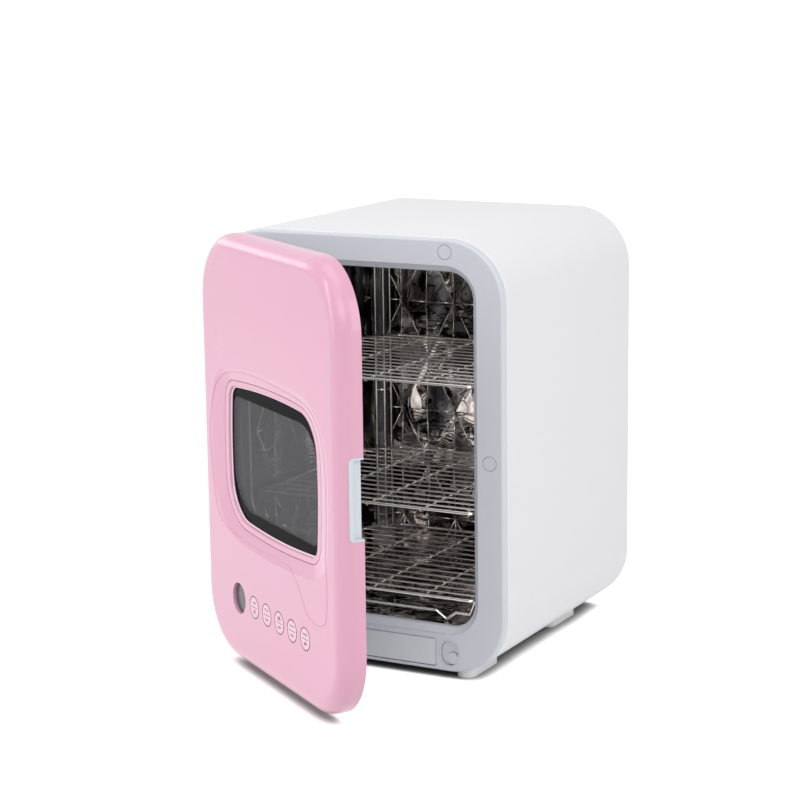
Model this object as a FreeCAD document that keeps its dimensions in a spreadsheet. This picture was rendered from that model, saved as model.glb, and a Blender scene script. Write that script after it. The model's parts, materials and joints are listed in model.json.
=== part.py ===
import FreeCAD, Part
import math
import os
import re

import Sketcher
from FreeCAD import Placement, Rotation, Vector

# A free-standing cabinet that sterilizes and dries baby bottles with ultraviolet lamps and warm air.
# X runs to the right, Y to the back and Z up. The origin is the middle of the base plate's underside.
# The door is drawn closed and then swung open about its hinge pins.

doc = FreeCAD.newDocument("bottle_sterilizer")
sizes = doc.addObject("Spreadsheet::Sheet", "sizes")

DRIVING = (
    # outer case, a bent sleeve
    ("case_width", 305), ("case_depth", 280), ("case_height", 400), ("case_radius", 56),
    ("case_wall", 2.5), ("case_edge", 1.6), ("fit_gap", 0.3),
    # front frame and its throat
    ("frame_proud", 8), ("frame_inset", 0.8), ("frame_face", 4), ("frame_spigot", 12),
    ("frame_wall", 2.5), ("frame_edge", 2.5), ("throat_width", 240), ("throat_height", 328.1),
    ("throat_middle", 205.95), ("throat_radius", 25), ("throat_wall", 3.5), ("throat_depth", 12),
    ("lip_bevel", 5.5), ("lip_step", 0.7), ("cap_radius", 6.4), ("cap_gap", 0.4), ("cap_top_x", 94.8),
    ("cap_top_z", 387.9), ("cap_side_x", 138.1), ("cap_side_z", 200), ("magnet_radius", 6),
    ("magnet_thick", 4),
    # base plate, feet, tie rods and rear cover
    ("base_half_width", 90.6), ("base_front", -118.6), ("base_back", 124.6), ("base_gap", 0.4),
    ("base_flange", 4), ("base_flange_thick", 2), ("foot_x", 105.5), ("foot_width", 18),
    ("foot_length", 60), ("foot_drop", 6), ("foot_front_y", -109), ("foot_rear_y", 68),
    ("rod_radius", 3.5), ("rod_x", 126.9), ("rod_low", 22.2), ("rod_high", 377.8),
    ("rod_boss", 5.5), ("rod_boss_deep", 14), ("rod_bore", 2), ("rod_bore_deep", 12),
    ("cover_plate", 2.5), ("cover_lip", 8.5), ("screw_head", 3.8), ("screw_head_thick", 2.4),
    ("screw_gap", 0.05),
    # cavity lining and its diamond facets
    ("cavity_half", 120.5), ("cavity_low", 42), ("cavity_high", 371), ("cavity_front", -135.8),
    ("cavity_back", 114), ("sheet_thick", 0.8), ("sheet_side", 125.8), ("facet_wide", 60),
    ("facet_high", 113), ("facet_relief", 4), ("side_relief", 3),
    # wire racks
    ("rack_upper_z", 263.7), ("rack_middle_z", 146), ("rack_lower_z", 63.5), ("rack_half", 112),
    ("rack_front", -126), ("rack_back", 100), ("rack_corner", 28), ("rack_bend", 7),
    ("rim_wire", 1.6), ("cross_wire", 0.95), ("long_wire", 1.2), ("wire_bite", 0.3),
    ("cross_count", 13), ("leg_wire_z", 50.5), ("leg_x", 82), ("leg_half", 10), ("leg_lean", 5),
    ("leg_wire", 1.4), ("leg_lift", 0.15), ("rail_lift", 0.15), ("rail_wide", 11),
    ("rail_thick", 1.2), ("rail_high", 9),
    # ultraviolet lamps
    ("lamp_x", 106.5), ("lamp_y", 100), ("lamp_radius", 8), ("lamp_low", 68), ("lamp_high", 344),
    ("lamp_cap", 6), ("lamp_cap_radius", 8.2), ("socket_radius", 12.2), ("guard_wire", 1),
    # fan, duct, heater and filter under the floor
    ("fan_y", 62), ("fan_side", 80), ("fan_low", 8.8), ("fan_high", 23.8), ("fan_bore", 36.5),
    ("fan_hub", 14), ("hub_wall", 1.5), ("hub_low", 11.6), ("hub_high", 22.6), ("blade_reach", 35),
    ("blade_thick", 1.4), ("blade_chord", 15), ("blade_tilt", 38), ("blade_count", 7),
    ("stator_radius", 9.5), ("bearing_radius", 3.2), ("shaft_radius", 1.5), ("run_gap", 0.05),
    ("duct_side", 84), ("duct_wall", 2), ("filter_side", 78), ("filter_low", 4.6),
    ("filter_thick", 4),
    # drip tray and its runners
    ("tray_half", 78), ("tray_low", 7), ("tray_high", 28), ("tray_wall", 1.6), ("tray_length", 126),
    ("panel_half", 82), ("panel_low", 5), ("panel_high", 30.4), ("panel_thick", 1.9),
    ("panel_recess", 2), ("panel_gap", 0.6), ("tray_gap", 0.5),
    # door switch
    ("oval_x", 96), ("oval_z", 18.1), ("oval_wide", 20.5), ("oval_high", 26), ("oval_rim", 1.5),
    ("oval_deep", 2.4), ("plunger_x", 99.3), ("plunger_z", 13.7), ("plunger_radius", 5.5),
    ("plunger_recess", 0.5), ("plunger_length", 6.5), ("plunger_wall", 1.2), ("stem_radius", 2),
    ("sleeve_radius", 7),
    # door
    ("door_height", 400.4), ("door_low", 0.3), ("door_thick", 22.5), ("door_radius", 63),
    ("door_edge", 15), ("door_wall", 2.5), ("door_gap", 1), ("pivot_inset", 10.5),
    ("pivot_forward", 12), ("sweep_radius", 12.6), ("door_open", 35.1), ("notch_half", 6.6),
    ("notch_reach", 12), ("grip_low", 166), ("grip_high", 238),
    ("grip_deep", 13.6), ("grip_radius", 4), ("grip_gap", 0.1), ("grip_wall", 2),
    # window, display and touch marks, measured from the middle of the door
    ("window_x", 2), ("window_z", 200), ("window_half_w", 97), ("window_half_h", 65),
    ("window_side_arc", 420), ("window_top_arc", 900), ("window_sunk", 7.5), ("ring_sunk", 4),
    ("step_wide", 0.9), ("ring_wide", 8.5), ("ring_high", 6), ("dish_wide", 22), ("dish_high", 13),
    ("groove_wide", 0.8), ("groove_deep", 1.4), ("glass_thick", 3), ("glass_lap", 2),
    ("lip_thick", 1), ("retainer_thick", 2.5), ("display_x", -70.5),
    ("display_z", 64), ("display_radius", 14.7), ("lens_radius", 15.5), ("lens_thick", 2.2),
    ("display_sunk", 3), ("display_collar", 17.5), ("mark_first", -35), ("mark_pitch", 28),
    ("mark_count", 5),
    # inner door panel and gasket
    ("lining_gap", 0.2), ("lining_thick", 2.5), ("plug_half", 110), ("plug_low", 56),
    ("plug_high", 358), ("plug_deep", 4), ("plug_wall", 1.5), ("gasket_half", 128),
    ("gasket_low", 34.4), ("gasket_high", 378), ("gasket_wide", 4), ("gasket_deep", 1.5),
    ("gasket_proud", 0.7),
    # hinges
    ("hinge_low", 100), ("hinge_high", 300), ("lug_half", 6), ("eye_radius", 5.5),
    ("bush_radius", 3), ("pin_radius", 2), ("pin_half", 20), ("block_half", 22),
)

aliases = {name for name, _ in DRIVING}
for row, (name, value) in enumerate(DRIVING, 1):
    sizes.set(f"A{row}", name)
    sizes.set(f"B{row}", str(value))
    sizes.setAlias(f"B{row}", name)
doc.recompute()


def bound(text):
    """An expression with each alias read from the sheet."""
    return re.sub(r"[a-z_]+[a-z_0-9]*",
                  lambda word: "sizes." + word[0] if word[0] in aliases else word[0], text)


def number(text):
    """The present value of an expression on the sheet's aliases."""
    return float(sizes.evalExpression(text))


def bind(piece, **paths):
    """Tie properties to expressions; a double underscore in a name stands for a dot."""
    for path, text in paths.items():
        piece.setExpression(path.replace("__", "."), bound(text))


# Planes that several pieces share, as expressions on the sheet.
CASE_FRONT = "(-case_depth / 2)"
CASE_BACK = "(case_depth / 2)"
FACE = "(-case_depth / 2 - frame_proud)"
THROAT_END = "(-case_depth / 2 - frame_proud + throat_depth)"
DOOR_BACK = "(-case_depth / 2 - frame_proud - door_gap)"
DOOR_FRONT = "(-case_depth / 2 - frame_proud - door_gap - door_thick)"
PIVOT_X = "(-case_width / 2 + pivot_inset)"
PIVOT_Y = "(-case_depth / 2 - frame_proud - door_gap - pivot_forward)"

pieces = []


def keep(feature, label, placement=None):
    """Name a finished sub-part and put it in its place."""
    feature.Label = label
    if placement is not None:
        feature.Placement = placement
    pieces.append(feature)
    return feature


def box(name, x, y, z, wide, deep, high):
    piece = doc.addObject("Part::Box", name)
    bind(piece, Length=wide, Width=deep, Height=high,
         Placement__Base__x=x, Placement__Base__y=y, Placement__Base__z=z)
    return piece


TURNED = {"x": Rotation(Vector(0, 1, 0), 90), "y": Rotation(Vector(1, 0, 0), -90), "z": Rotation()}


def rod(name, x, y, z, radius, length, along="z"):
    """A cylinder that starts at x, y, z and runs along an axis."""
    piece = doc.addObject("Part::Cylinder", name)
    piece.Placement = Placement(Vector(), TURNED[along])
    bind(piece, Radius=radius, Height=length,
         Placement__Base__x=x, Placement__Base__y=y, Placement__Base__z=z)
    return piece


def cut(name, base, *tools):
    tool = tools[0] if len(tools) == 1 else join(name + "_tools", *tools)
    piece = doc.addObject("Part::Cut", name)
    piece.Base = base
    piece.Tool = tool
    return piece


def join(name, *parts):
    piece = doc.addObject("Part::MultiFuse", name)
    piece.Shapes = list(parts)
    piece.Refine = True
    return piece


def group(name, *parts):
    """Separate solids of one kind in one node."""
    piece = doc.addObject("Part::Compound", name)
    piece.Links = list(parts)
    return piece


def formed(name, shape):
    """A solid made by a formula that no sketch or primitive gives."""
    piece = doc.addObject("Part::Feature", name)
    piece.Shape = shape
    return piece


def new_body(name):
    return doc.addObject("PartDesign::Body", name)


def sketch_on(body, name, role, offset):
    """A sketch on one of the body's own origin planes, moved along the plane's normal."""
    plane = next(item for item in body.Origin.OriginFeatures if item.Role == role)
    sketch = body.newObject("Sketcher::SketchObject", name)
    sketch.AttachmentSupport = (plane, [""])
    sketch.MapMode = "FlatFace"
    bind(sketch, AttachmentOffset__Base__z=offset)
    return sketch


def front_sketch(body, name, y):
    """A sketch that faces the front, with X to the right and Z up."""
    return sketch_on(body, name, "XZ_Plane", f"-({y})")


def dimension(sketch, name, constraint, text):
    index = sketch.addConstraint(constraint)
    sketch.renameConstraint(index, name)
    sketch.setExpression("Constraints." + name, bound(text))


def rounded_rectangle(sketch, left, low, wide, high, radius):
    """Four sides and four quarter arcs, held by five named dimensions."""
    first = sketch.GeometryCount
    x0, z0 = number(left), number(low)
    x1, z1, r = x0 + number(wide), z0 + number(high), number(radius)
    ends = (((x0 + r, z0), (x1 - r, z0)), ((x1, z0 + r), (x1, z1 - r)),
            ((x1 - r, z1), (x0 + r, z1)), ((x0, z1 - r), (x0, z0 + r)))
    centres = ((x1 - r, z0 + r), (x1 - r, z1 - r), (x0 + r, z1 - r), (x0 + r, z0 + r))
    for turn, (side, centre) in enumerate(zip(ends, centres)):
        sketch.addGeometry(Part.LineSegment(Vector(*side[0], 0), Vector(*side[1], 0)), False)
        start = math.radians(90 * turn - 90)
        circle = Part.Circle(Vector(*centre, 0), Vector(0, 0, 1), r)
        sketch.addGeometry(Part.ArcOfCircle(circle, start, start + math.pi / 2), False)
    for k in range(8):
        sketch.addConstraint(Sketcher.Constraint("Tangent", first + k, 2, first + (k + 1) % 8, 1))
    for k, kind in ((0, "Horizontal"), (2, "Vertical"), (4, "Horizontal"), (6, "Vertical")):
        sketch.addConstraint(Sketcher.Constraint(kind, first + k))
    for k in (3, 5, 7):
        sketch.addConstraint(Sketcher.Constraint("Equal", first + 1, first + k))
    tag = f"_{first}"
    for name, kind, a, b, value, text in (
            ("wide", "DistanceX", (first + 6, 1), (first + 2, 1), x1 - x0, wide),
            ("high", "DistanceY", (first, 1), (first + 4, 1), z1 - z0, high),
            ("left", "DistanceX", (-1, 1), (first + 6, 1), x0, left),
            ("low", "DistanceY", (-1, 1), (first, 1), z0, low)):
        dimension(sketch, name + tag, Sketcher.Constraint(kind, *a, *b, value), text)
    dimension(sketch, "radius" + tag, Sketcher.Constraint("Radius", first + 1, r), radius)


def centred_rectangle(sketch, x, z, wide, high, radius):
    rounded_rectangle(sketch, f"({x}) - ({wide}) / 2", f"({z}) - ({high}) / 2", wide, high, radius)


def pad(body, sketch, length, backwards=False):
    """Add material along the sketch's normal, or against it."""
    feature = body.newObject("PartDesign::Pad", sketch.Name + "_pad")
    feature.Profile = sketch
    feature.Reversed = backwards
    bind(feature, Length=length)
    body.Tip = feature
    doc.recompute()
    return feature


def pocket(body, sketch, length, forwards=True):
    """Take material away along the sketch's normal, or against it, and see that it went."""
    before = body.Shape.Volume
    feature = body.newObject("PartDesign::Pocket", sketch.Name + "_pocket")
    feature.Profile = sketch
    feature.Reversed = forwards
    bind(feature, Length=length)
    body.Tip = feature
    doc.recompute()
    assert body.Shape.Volume < before - 1, sketch.Name + " cuts nothing"
    return feature


def dress(body, kind, test, **sizes_of):
    """Round or bevel the edges that pass a test."""
    base = body.Tip
    names = [f"Edge{k}" for k, edge in enumerate(base.Shape.Edges, 1) if test(edge)]
    assert names, "no edges to dress on " + body.Name
    feature = body.newObject("PartDesign::" + kind, f"{body.Name}_{kind.lower()}_{len(body.Group)}")
    feature.Base = (base, names)
    bind(feature, **sizes_of)
    body.Tip = feature
    doc.recompute()
    return feature


def lies_at(y):
    """A test for edges in a plane of constant Y."""
    level = number(y)

    def test(edge):
        b = edge.BoundBox
        return abs(b.YMin - level) < 1e-4 and abs(b.YMax - level) < 1e-4

    return test


def circle(sketch, x, z, radius):
    drawn = Part.Circle(Vector(number(x), number(z), 0), Vector(0, 0, 1), number(radius))
    index = sketch.addGeometry(drawn, False)
    for name, constraint, text in (
            ("x", Sketcher.Constraint("DistanceX", -1, 1, index, 3, number(x)), x),
            ("z", Sketcher.Constraint("DistanceY", -1, 1, index, 3, number(z)), z),
            ("r", Sketcher.Constraint("Radius", index, number(radius)), radius)):
        dimension(sketch, f"{name}_{index}", constraint, text)


def repeat(body, feature, sketch, axis, pitch, count):
    """Copies of a feature in a straight row along an axis of its sketch."""
    row = body.newObject("PartDesign::LinearPattern", feature.Name + "_row")
    row.Originals = [feature]
    row.Direction = (sketch, [axis])
    row.Occurrences = int(number(count))
    row.Length = number(f"({pitch}) * ({count} - 1)")
    body.Tip = row
    doc.recompute()
    return row


# The case is one bent sleeve, open at the front and back, with an opening in its floor.
case = new_body("case_body")
ring = front_sketch(case, "case_ring", CASE_BACK)
centred_rectangle(ring, "0", "case_height / 2", "case_width", "case_height", "case_radius")
centred_rectangle(ring, "0", "case_height / 2", "case_width - 2 * case_wall",
                  "case_height - 2 * case_wall", "case_radius - case_wall")
pad(case, ring, "case_depth")
floor_opening = sketch_on(case, "case_floor_opening", "XY_Plane", "0")
rounded_rectangle(floor_opening, "-base_half_width - base_gap", "base_front - base_gap",
                  "2 * base_half_width + 2 * base_gap", "base_back - base_front + 2 * base_gap", "3")
pocket(case, floor_opening, "case_wall + 2")


def outer_rim(half, low, high, y):
    """A test for the edges of a rim that lie on its outer boundary."""
    def test(edge):
        if not lies_at(y)(edge):
            return False
        b = edge.BoundBox
        return (abs(b.XMax - number(half)) < 1e-3 or abs(b.XMin + number(half)) < 1e-3
                or abs(b.ZMin - number(low)) < 1e-3 or abs(b.ZMax - number(high)) < 1e-3)
    return test


for end in (CASE_FRONT, CASE_BACK):
    dress(case, "Fillet", outer_rim("case_width / 2", "0", "case_height", end), Radius="case_edge")
keep(case, "outer_case")

# The base plate fills that opening and carries the air intake under the fan.
base = new_body("base_body")
outline = sketch_on(base, "base_outline", "XY_Plane", "0")
rounded_rectangle(outline, "-base_half_width", "base_front", "2 * base_half_width",
                  "base_back - base_front", "3 - base_gap")
pad(base, outline, "case_wall + 0.05")
flange = sketch_on(base, "base_flange_outline", "XY_Plane", "case_wall + 0.05")
rounded_rectangle(flange, "-base_half_width - base_flange", "base_front - base_flange",
                  "2 * base_half_width + 2 * base_flange",
                  "base_back - base_front + 2 * base_flange", "5")
pad(base, flange, "base_flange_thick - 0.05")
slot = sketch_on(base, "base_slot", "XY_Plane", "0")
rounded_rectangle(slot, "-28", "fan_y - 29.6", "56", "3.2", "1.5")
slot_cut = pocket(base, slot, "case_wall + base_flange_thick")
repeat(base, slot_cut, slot, "V_Axis", "7", "9")
keep(base, "base_plate")

# Four soft pads under the corners, hollowed to the case's own curve.
feet = []
for side, sign in (("left", -1), ("right", 1)):
    for end, y in (("front", "foot_front_y"), ("rear", "foot_rear_y")):
        name = f"foot_{side}_{end}"
        middle = f"{sign} * foot_x"
        reach = "(foot_length - foot_width) / 2"
        stock = join(name + "_stock",
                     box(name + "_bar", f"{middle} - foot_width / 2", f"{y} - {reach}", "-foot_drop",
                         "foot_width", "foot_length - foot_width", "foot_drop + 4"),
                     *(rod(f"{name}_end_{k}", middle, f"{y} + {k} * {reach}", "-foot_drop",
                           "foot_width / 2", "foot_drop + 4") for k in (-1, 1)))
        curve = rod(name + "_curve", f"{sign} * (case_width / 2 - case_radius)", f"{y} - foot_length",
                    "case_radius", "case_radius", "2 * foot_length", "y")
        feet.append(cut(name, stock, curve))
keep(group("feet_group", *feet), "feet")

# The front frame: a face, a spigot inside the case and a rounded throat that leads into the cavity.
frame = new_body("frame_body")
face = front_sketch(frame, "frame_face_outline", CASE_FRONT)
centred_rectangle(face, "0", "case_height / 2", "case_width - 2 * frame_inset",
                  "case_height - 2 * frame_inset", "case_radius - frame_inset")
pad(frame, face, "frame_proud")
SPIGOT_BACK = f"({CASE_FRONT} + frame_spigot)"
spigot = front_sketch(frame, "frame_spigot_outline", SPIGOT_BACK)
centred_rectangle(spigot, "0", "case_height / 2", "case_width - 2 * case_wall - 2 * fit_gap",
                  "case_height - 2 * case_wall - 2 * fit_gap", "case_radius - case_wall - fit_gap")
pad(frame, spigot, "frame_spigot")
hollow = front_sketch(frame, "frame_hollow", SPIGOT_BACK)
centred_rectangle(hollow, "0", "case_height / 2",
                  "case_width - 2 * case_wall - 2 * fit_gap - 2 * frame_wall",
                  "case_height - 2 * case_wall - 2 * fit_gap - 2 * frame_wall",
                  "case_radius - case_wall - fit_gap - frame_wall")
pocket(frame, hollow, "frame_spigot + frame_proud - frame_face")
throat_ring = front_sketch(frame, "frame_throat_ring", THROAT_END)
centred_rectangle(throat_ring, "0", "throat_middle", "throat_width + 2 * throat_wall",
                  "throat_height + 2 * throat_wall", "throat_radius + throat_wall")
pad(frame, throat_ring, "throat_depth - frame_face")
bosses = front_sketch(frame, "frame_bosses", f"{FACE} + frame_face + rod_boss_deep")
for x in ("-rod_x", "rod_x"):
    for z in ("rod_low", "rod_high"):
        circle(bosses, x, z, "rod_boss")
pad(frame, bosses, "rod_boss_deep")
magnet_seats = front_sketch(frame, "frame_magnet_seats", f"{FACE} + frame_face + magnet_thick")
for x, z in (("cap_top_x", "cap_top_z"), ("cap_side_x", "cap_side_z")):
    circle(magnet_seats, x, z, "cap_radius + cap_gap + 1.6")
pad(frame, magnet_seats, "magnet_thick")
lip = front_sketch(frame, "frame_lip", FACE)
centred_rectangle(lip, "0", "throat_middle", "throat_width + 2 * lip_bevel + lip_step",
                  "throat_height + 2 * lip_bevel + lip_step", "throat_radius + lip_bevel + lip_step / 2")
pocket(frame, lip, "lip_step", forwards=False)
throat = front_sketch(frame, "frame_throat", FACE)
centred_rectangle(throat, "0", "throat_middle", "throat_width", "throat_height", "throat_radius")
pocket(frame, throat, "throat_depth", forwards=False)
cap_holes = front_sketch(frame, "frame_cap_holes", FACE)
for x, z in (("cap_top_x", "cap_top_z"), ("cap_side_x", "cap_side_z")):
    circle(cap_holes, x, z, "cap_radius + cap_gap")
pocket(frame, cap_holes, "frame_face + magnet_thick", forwards=False)
oval_hole = front_sketch(frame, "frame_oval_hole", FACE)
centred_rectangle(oval_hole, "oval_x", "oval_z", "oval_wide", "oval_high", "oval_wide / 2 - 0.2")
pocket(frame, oval_hole, "frame_face", forwards=False)
tray_seat = front_sketch(frame, "frame_tray_seat", FACE)
rounded_rectangle(tray_seat, "-panel_half - panel_gap", "panel_low - panel_gap",
                  "2 * panel_half + 2 * panel_gap", "panel_high - panel_low + 2 * panel_gap", "2")
pocket(frame, tray_seat, "panel_recess", forwards=False)
tray_slot = front_sketch(frame, "frame_tray_slot", FACE)
rounded_rectangle(tray_slot, "-tray_half - tray_gap", "tray_low - tray_gap",
                  "2 * tray_half + 2 * tray_gap", "tray_high - tray_low + 2 * tray_gap", "1")
pocket(frame, tray_slot, "throat_depth", forwards=False)
lug_slots = front_sketch(frame, "frame_lug_slots", FACE)
for z in ("hinge_low", "hinge_high"):
    rounded_rectangle(lug_slots, f"{PIVOT_X} + 0.8", f"{z} - lug_half - 0.2", "9.4",
                      "2 * lug_half + 0.4", "0.5")
pocket(frame, lug_slots, "frame_face", forwards=False)
rod_bores = front_sketch(frame, "frame_rod_bores", f"{FACE} + frame_face + rod_boss_deep")
for x in ("-rod_x", "rod_x"):
    for z in ("rod_low", "rod_high"):
        circle(rod_bores, x, z, "rod_bore")
pocket(frame, rod_bores, "rod_bore_deep")


def throat_mouth(edge):
    b = edge.BoundBox
    half, low = number("throat_width / 2"), number("throat_middle - throat_height / 2")
    high = number("throat_middle + throat_height / 2")
    return (lies_at(f"{FACE} + lip_step")(edge) and max(abs(b.XMin), abs(b.XMax)) < half + 1e-3
            and b.ZMin > low - 1e-3 and b.ZMax < high + 1e-3)


dress(frame, "Chamfer", throat_mouth, Size="lip_bevel")
front_rim = outer_rim("case_width / 2 - frame_inset", "frame_inset", "case_height - frame_inset", FACE)
dress(frame, "Fillet", front_rim, Radius="frame_edge")
keep(frame, "front_frame")

# Round caps cover the magnets that hold the door shut.
for label, y, radius, thick in (("magnet_caps", FACE, "cap_radius", "frame_face"),
                                ("frame_magnets", f"{FACE} + frame_face", "magnet_radius", "magnet_thick")):
    keep(group(label + "_group",
               rod(label + "_top", "cap_top_x", y, "cap_top_z", radius, thick, "y"),
               rod(label + "_side", "cap_side_x", y, "cap_side_z", radius, thick, "y")), label)

# A vented cover closes the back and clamps the sleeve against the frame through four tie rods.
cover = new_body("cover_body")
COVER_BACK = f"({CASE_BACK} - 0.1)"
plate = front_sketch(cover, "cover_outline", COVER_BACK)
INNER_WIDE = "case_width - 2 * case_wall - 2 * fit_gap"
INNER_HIGH = "case_height - 2 * case_wall - 2 * fit_gap"
centred_rectangle(plate, "0", "case_height / 2", INNER_WIDE, INNER_HIGH,
                  "case_radius - case_wall - fit_gap")
pad(cover, plate, "cover_plate + cover_lip")
cover_hollow = front_sketch(cover, "cover_hollow", f"{COVER_BACK} - cover_plate")
centred_rectangle(cover_hollow, "0", "case_height / 2", f"{INNER_WIDE} - 4", f"{INNER_HIGH} - 4",
                  "case_radius - case_wall - fit_gap - 2")
pocket(cover, cover_hollow, "cover_lip")
vent = front_sketch(cover, "cover_vent", COVER_BACK)
rounded_rectangle(vent, "-60", "336", "120", "3.4", "1.6")
vent_cut = pocket(cover, vent, "cover_plate")
repeat(cover, vent_cut, vent, "V_Axis", "7", "5")
inlet_hole = front_sketch(cover, "cover_inlet_hole", COVER_BACK)
rounded_rectangle(inlet_hole, "-100.2", "41.8", "24.4", "16.4", "4")
pocket(cover, inlet_hole, "cover_plate")
screw_holes = front_sketch(cover, "cover_screw_holes", COVER_BACK)
for x in ("-rod_x", "rod_x"):
    for z in ("rod_low", "rod_high"):
        circle(screw_holes, x, z, "1.6")
pocket(cover, screw_holes, "cover_plate")
keep(cover, "rear_cover")

rods = []
screws = []
for side, sign in (("left", -1), ("right", 1)):
    for end, z in (("low", "rod_low"), ("high", "rod_high")):
        name = f"{side}_{end}"
        x = f"{sign} * rod_x"
        front = f"({FACE} + frame_face + rod_boss_deep)"
        back = f"({COVER_BACK} - cover_plate)"
        shank = join("tie_" + name + "_solid",
                     rod("tie_" + name, x, front, z, "rod_radius", f"{back} - {front}", "y"),
                     rod("stud_" + name, x, f"{front} - rod_bore_deep + 1", z, "rod_bore - 0.05",
                         "rod_bore_deep", "y"))
        rods.append(cut("tie_rod_" + name, shank,
                        rod("tie_bore_" + name, x, f"{back} - 11", z, "1.5", "12", "y")))
        screws.append(join("cover_screw_" + name,
                           rod("screw_shank_" + name, x, f"{back} - 9", z, "1.45", "10 + cover_plate", "y"),
                           rod("screw_head_" + name, x, f"{COVER_BACK} + screw_gap", z, "screw_head",
                               "screw_head_thick", "y")))
keep(group("tie_rods_group", *rods), "tie_rods")
keep(group("cover_screws_group", *screws), "cover_screws")


def pyramid(middle, across, up, half_across, half_up, peak):
    """A four-sided point on a diamond base."""
    corners = [middle - across * half_across, middle + up * half_up,
               middle + across * half_across, middle - up * half_up]
    faces = [Part.Face(Part.makePolygon(corners + corners[:1]))]
    for k in range(4):
        faces.append(Part.Face(Part.makePolygon([corners[k], corners[(k + 1) % 4], peak, corners[k]])))
    return Part.Solid(Part.Shell(faces))


def pressed_sheet(name, slab, middles, across, inward, half_across, half_up, relief, limits):
    """A thin sheet pressed into diamond points that stand into the cavity."""
    up = Vector(0, 0, 1)
    points = [pyramid(m, across, up, half_across, h, m + inward * relief) for m, h in middles]
    raised = Part.makeCompound(points)
    hollow_side = raised.translated(inward * -number("sheet_thick"))
    shape = slab.multiFuse([p.common(limits) for p in points])
    dents = [p.common(limits) for p in hollow_side.Solids]
    return formed(name, shape.cut(dents).removeSplitter())


# The cavity is lined with bright sheet. Big diamond points in it scatter the lamps' light.
half, low, high = number("cavity_half"), number("cavity_low"), number("cavity_high")
front, back, sheet = number("cavity_front"), number("cavity_back"), number("sheet_thick")
wide, tall = number("facet_wide / 2"), number("facet_high / 2")
centres = [(Vector(1.3 + 30 * i, back, 298 - 56.5 * j), tall)
           for i in range(-5, 6) for j in range(-2, 6) if (i + j) % 2 == 0]
back_slab = Part.makeBox(2 * (half + sheet), sheet, high - low + 2 * sheet,
                         Vector(-half - sheet, back, low - sheet))
back_limits = Part.makeBox(2 * half - 0.6, 12, high - low - 0.6, Vector(-half + 0.3, back - 8, low + 0.3))
keep(pressed_sheet("reflector", back_slab, centres, Vector(1, 0, 0), Vector(0, -1, 0), wide, tall,
                   number("facet_relief"), back_limits), "back_reflector")
for label, sign in (("liner_left", -1), ("liner_right", 1)):
    wall_x = sign * half
    outer_x = min(wall_x, wall_x + sign * sheet)
    slab = Part.makeBox(sheet, back - front - 0.05, high - low - 0.1, Vector(outer_x, front, low + 0.05))
    lip_x = min(wall_x + sign * sheet / 2, sign * number("sheet_side"))
    lip = Part.makeBox(number("sheet_side") - half - sheet / 2, sheet, high - low - 0.1,
                       Vector(lip_x, front, low + 0.05))
    side_centres = [(Vector(wall_x, y, z), h) for z, h in ((93, 40), (202, 48), (316, 44))
                    for y in (-93, -33, 27)]
    side_limits = Part.makeBox(12, back - front - 2, high - low - 0.6,
                               Vector(wall_x - 6, front + 1, low + 0.3))
    keep(pressed_sheet(label + "_sheet", slab.fuse(lip), side_centres, Vector(0, 1, 0), Vector(-sign, 0, 0),
                       wide, tall, number("side_relief"), side_limits), label)

ceiling = new_body("ceiling_body")
ceiling_outline = sketch_on(ceiling, "ceiling_outline", "XY_Plane", "cavity_high")
rounded_rectangle(ceiling_outline, "-cavity_half - sheet_thick", "cavity_front",
                  "2 * cavity_half + 2 * sheet_thick", "cavity_back - cavity_front - 0.05", "1")
pad(ceiling, ceiling_outline, "sheet_thick")
keep(ceiling, "liner_ceiling")

# The floor drains into the tray in front and lets warm air up from the duct behind.
floor = new_body("floor_body")
floor_outline = sketch_on(floor, "floor_outline", "XY_Plane", "cavity_low - sheet_thick")
rounded_rectangle(floor_outline, "-cavity_half - sheet_thick", "cavity_front",
                  "2 * cavity_half + 2 * sheet_thick", "cavity_back - cavity_front - 0.05", "1")
pad(floor, floor_outline, "sheet_thick")
warm_slot = sketch_on(floor, "floor_warm_slot", "XY_Plane", "cavity_low - sheet_thick")
rounded_rectangle(warm_slot, "-33", "fan_y - 33.7", "66", "3.4", "1.6")
repeat(floor, pocket(floor, warm_slot, "sheet_thick"), warm_slot, "V_Axis", "8", "9")
drain_slot = sketch_on(floor, "floor_drain_slot", "XY_Plane", "cavity_low - sheet_thick")
rounded_rectangle(drain_slot, "-70", "-112", "140", "3.2", "1.5")
repeat(floor, pocket(floor, drain_slot, "sheet_thick"), drain_slot, "V_Axis", "14", "6")
keep(floor, "liner_floor")

# Angle rails carry the upper and middle racks; the lower one stands on the floor.
rails = []
for side, sign in (("left", -1), ("right", 1)):
    for level in ("upper", "middle"):
        name = f"rail_{side}_{level}"
        top = f"(rack_{level}_z - rim_wire - rail_lift)"
        inner = "cavity_half - rail_wide" if sign > 0 else "-cavity_half"
        outer = "cavity_half - rail_thick" if sign > 0 else "-cavity_half"
        rails.append(join(name,
                          box(name + "_shelf", inner, "-120", f"{top} - rail_thick", "rail_wide", "190",
                              "rail_thick"),
                          box(name + "_web", outer, "-120", f"{top} - rail_high", "rail_thick", "190",
                              "rail_high")))
keep(group("rails_group", *rails), "rack_rails")


def wire(points, radius):
    """A bent wire through a chain of points."""
    runs = []
    for a, b in zip(points, points[1:]):
        runs.append(Part.makeCylinder(radius, (b - a).Length, a, b - a))
    knees = [Part.makeSphere(radius, p) for p in points[1:-1]]
    return runs[0].multiFuse(runs[1:] + knees)


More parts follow.
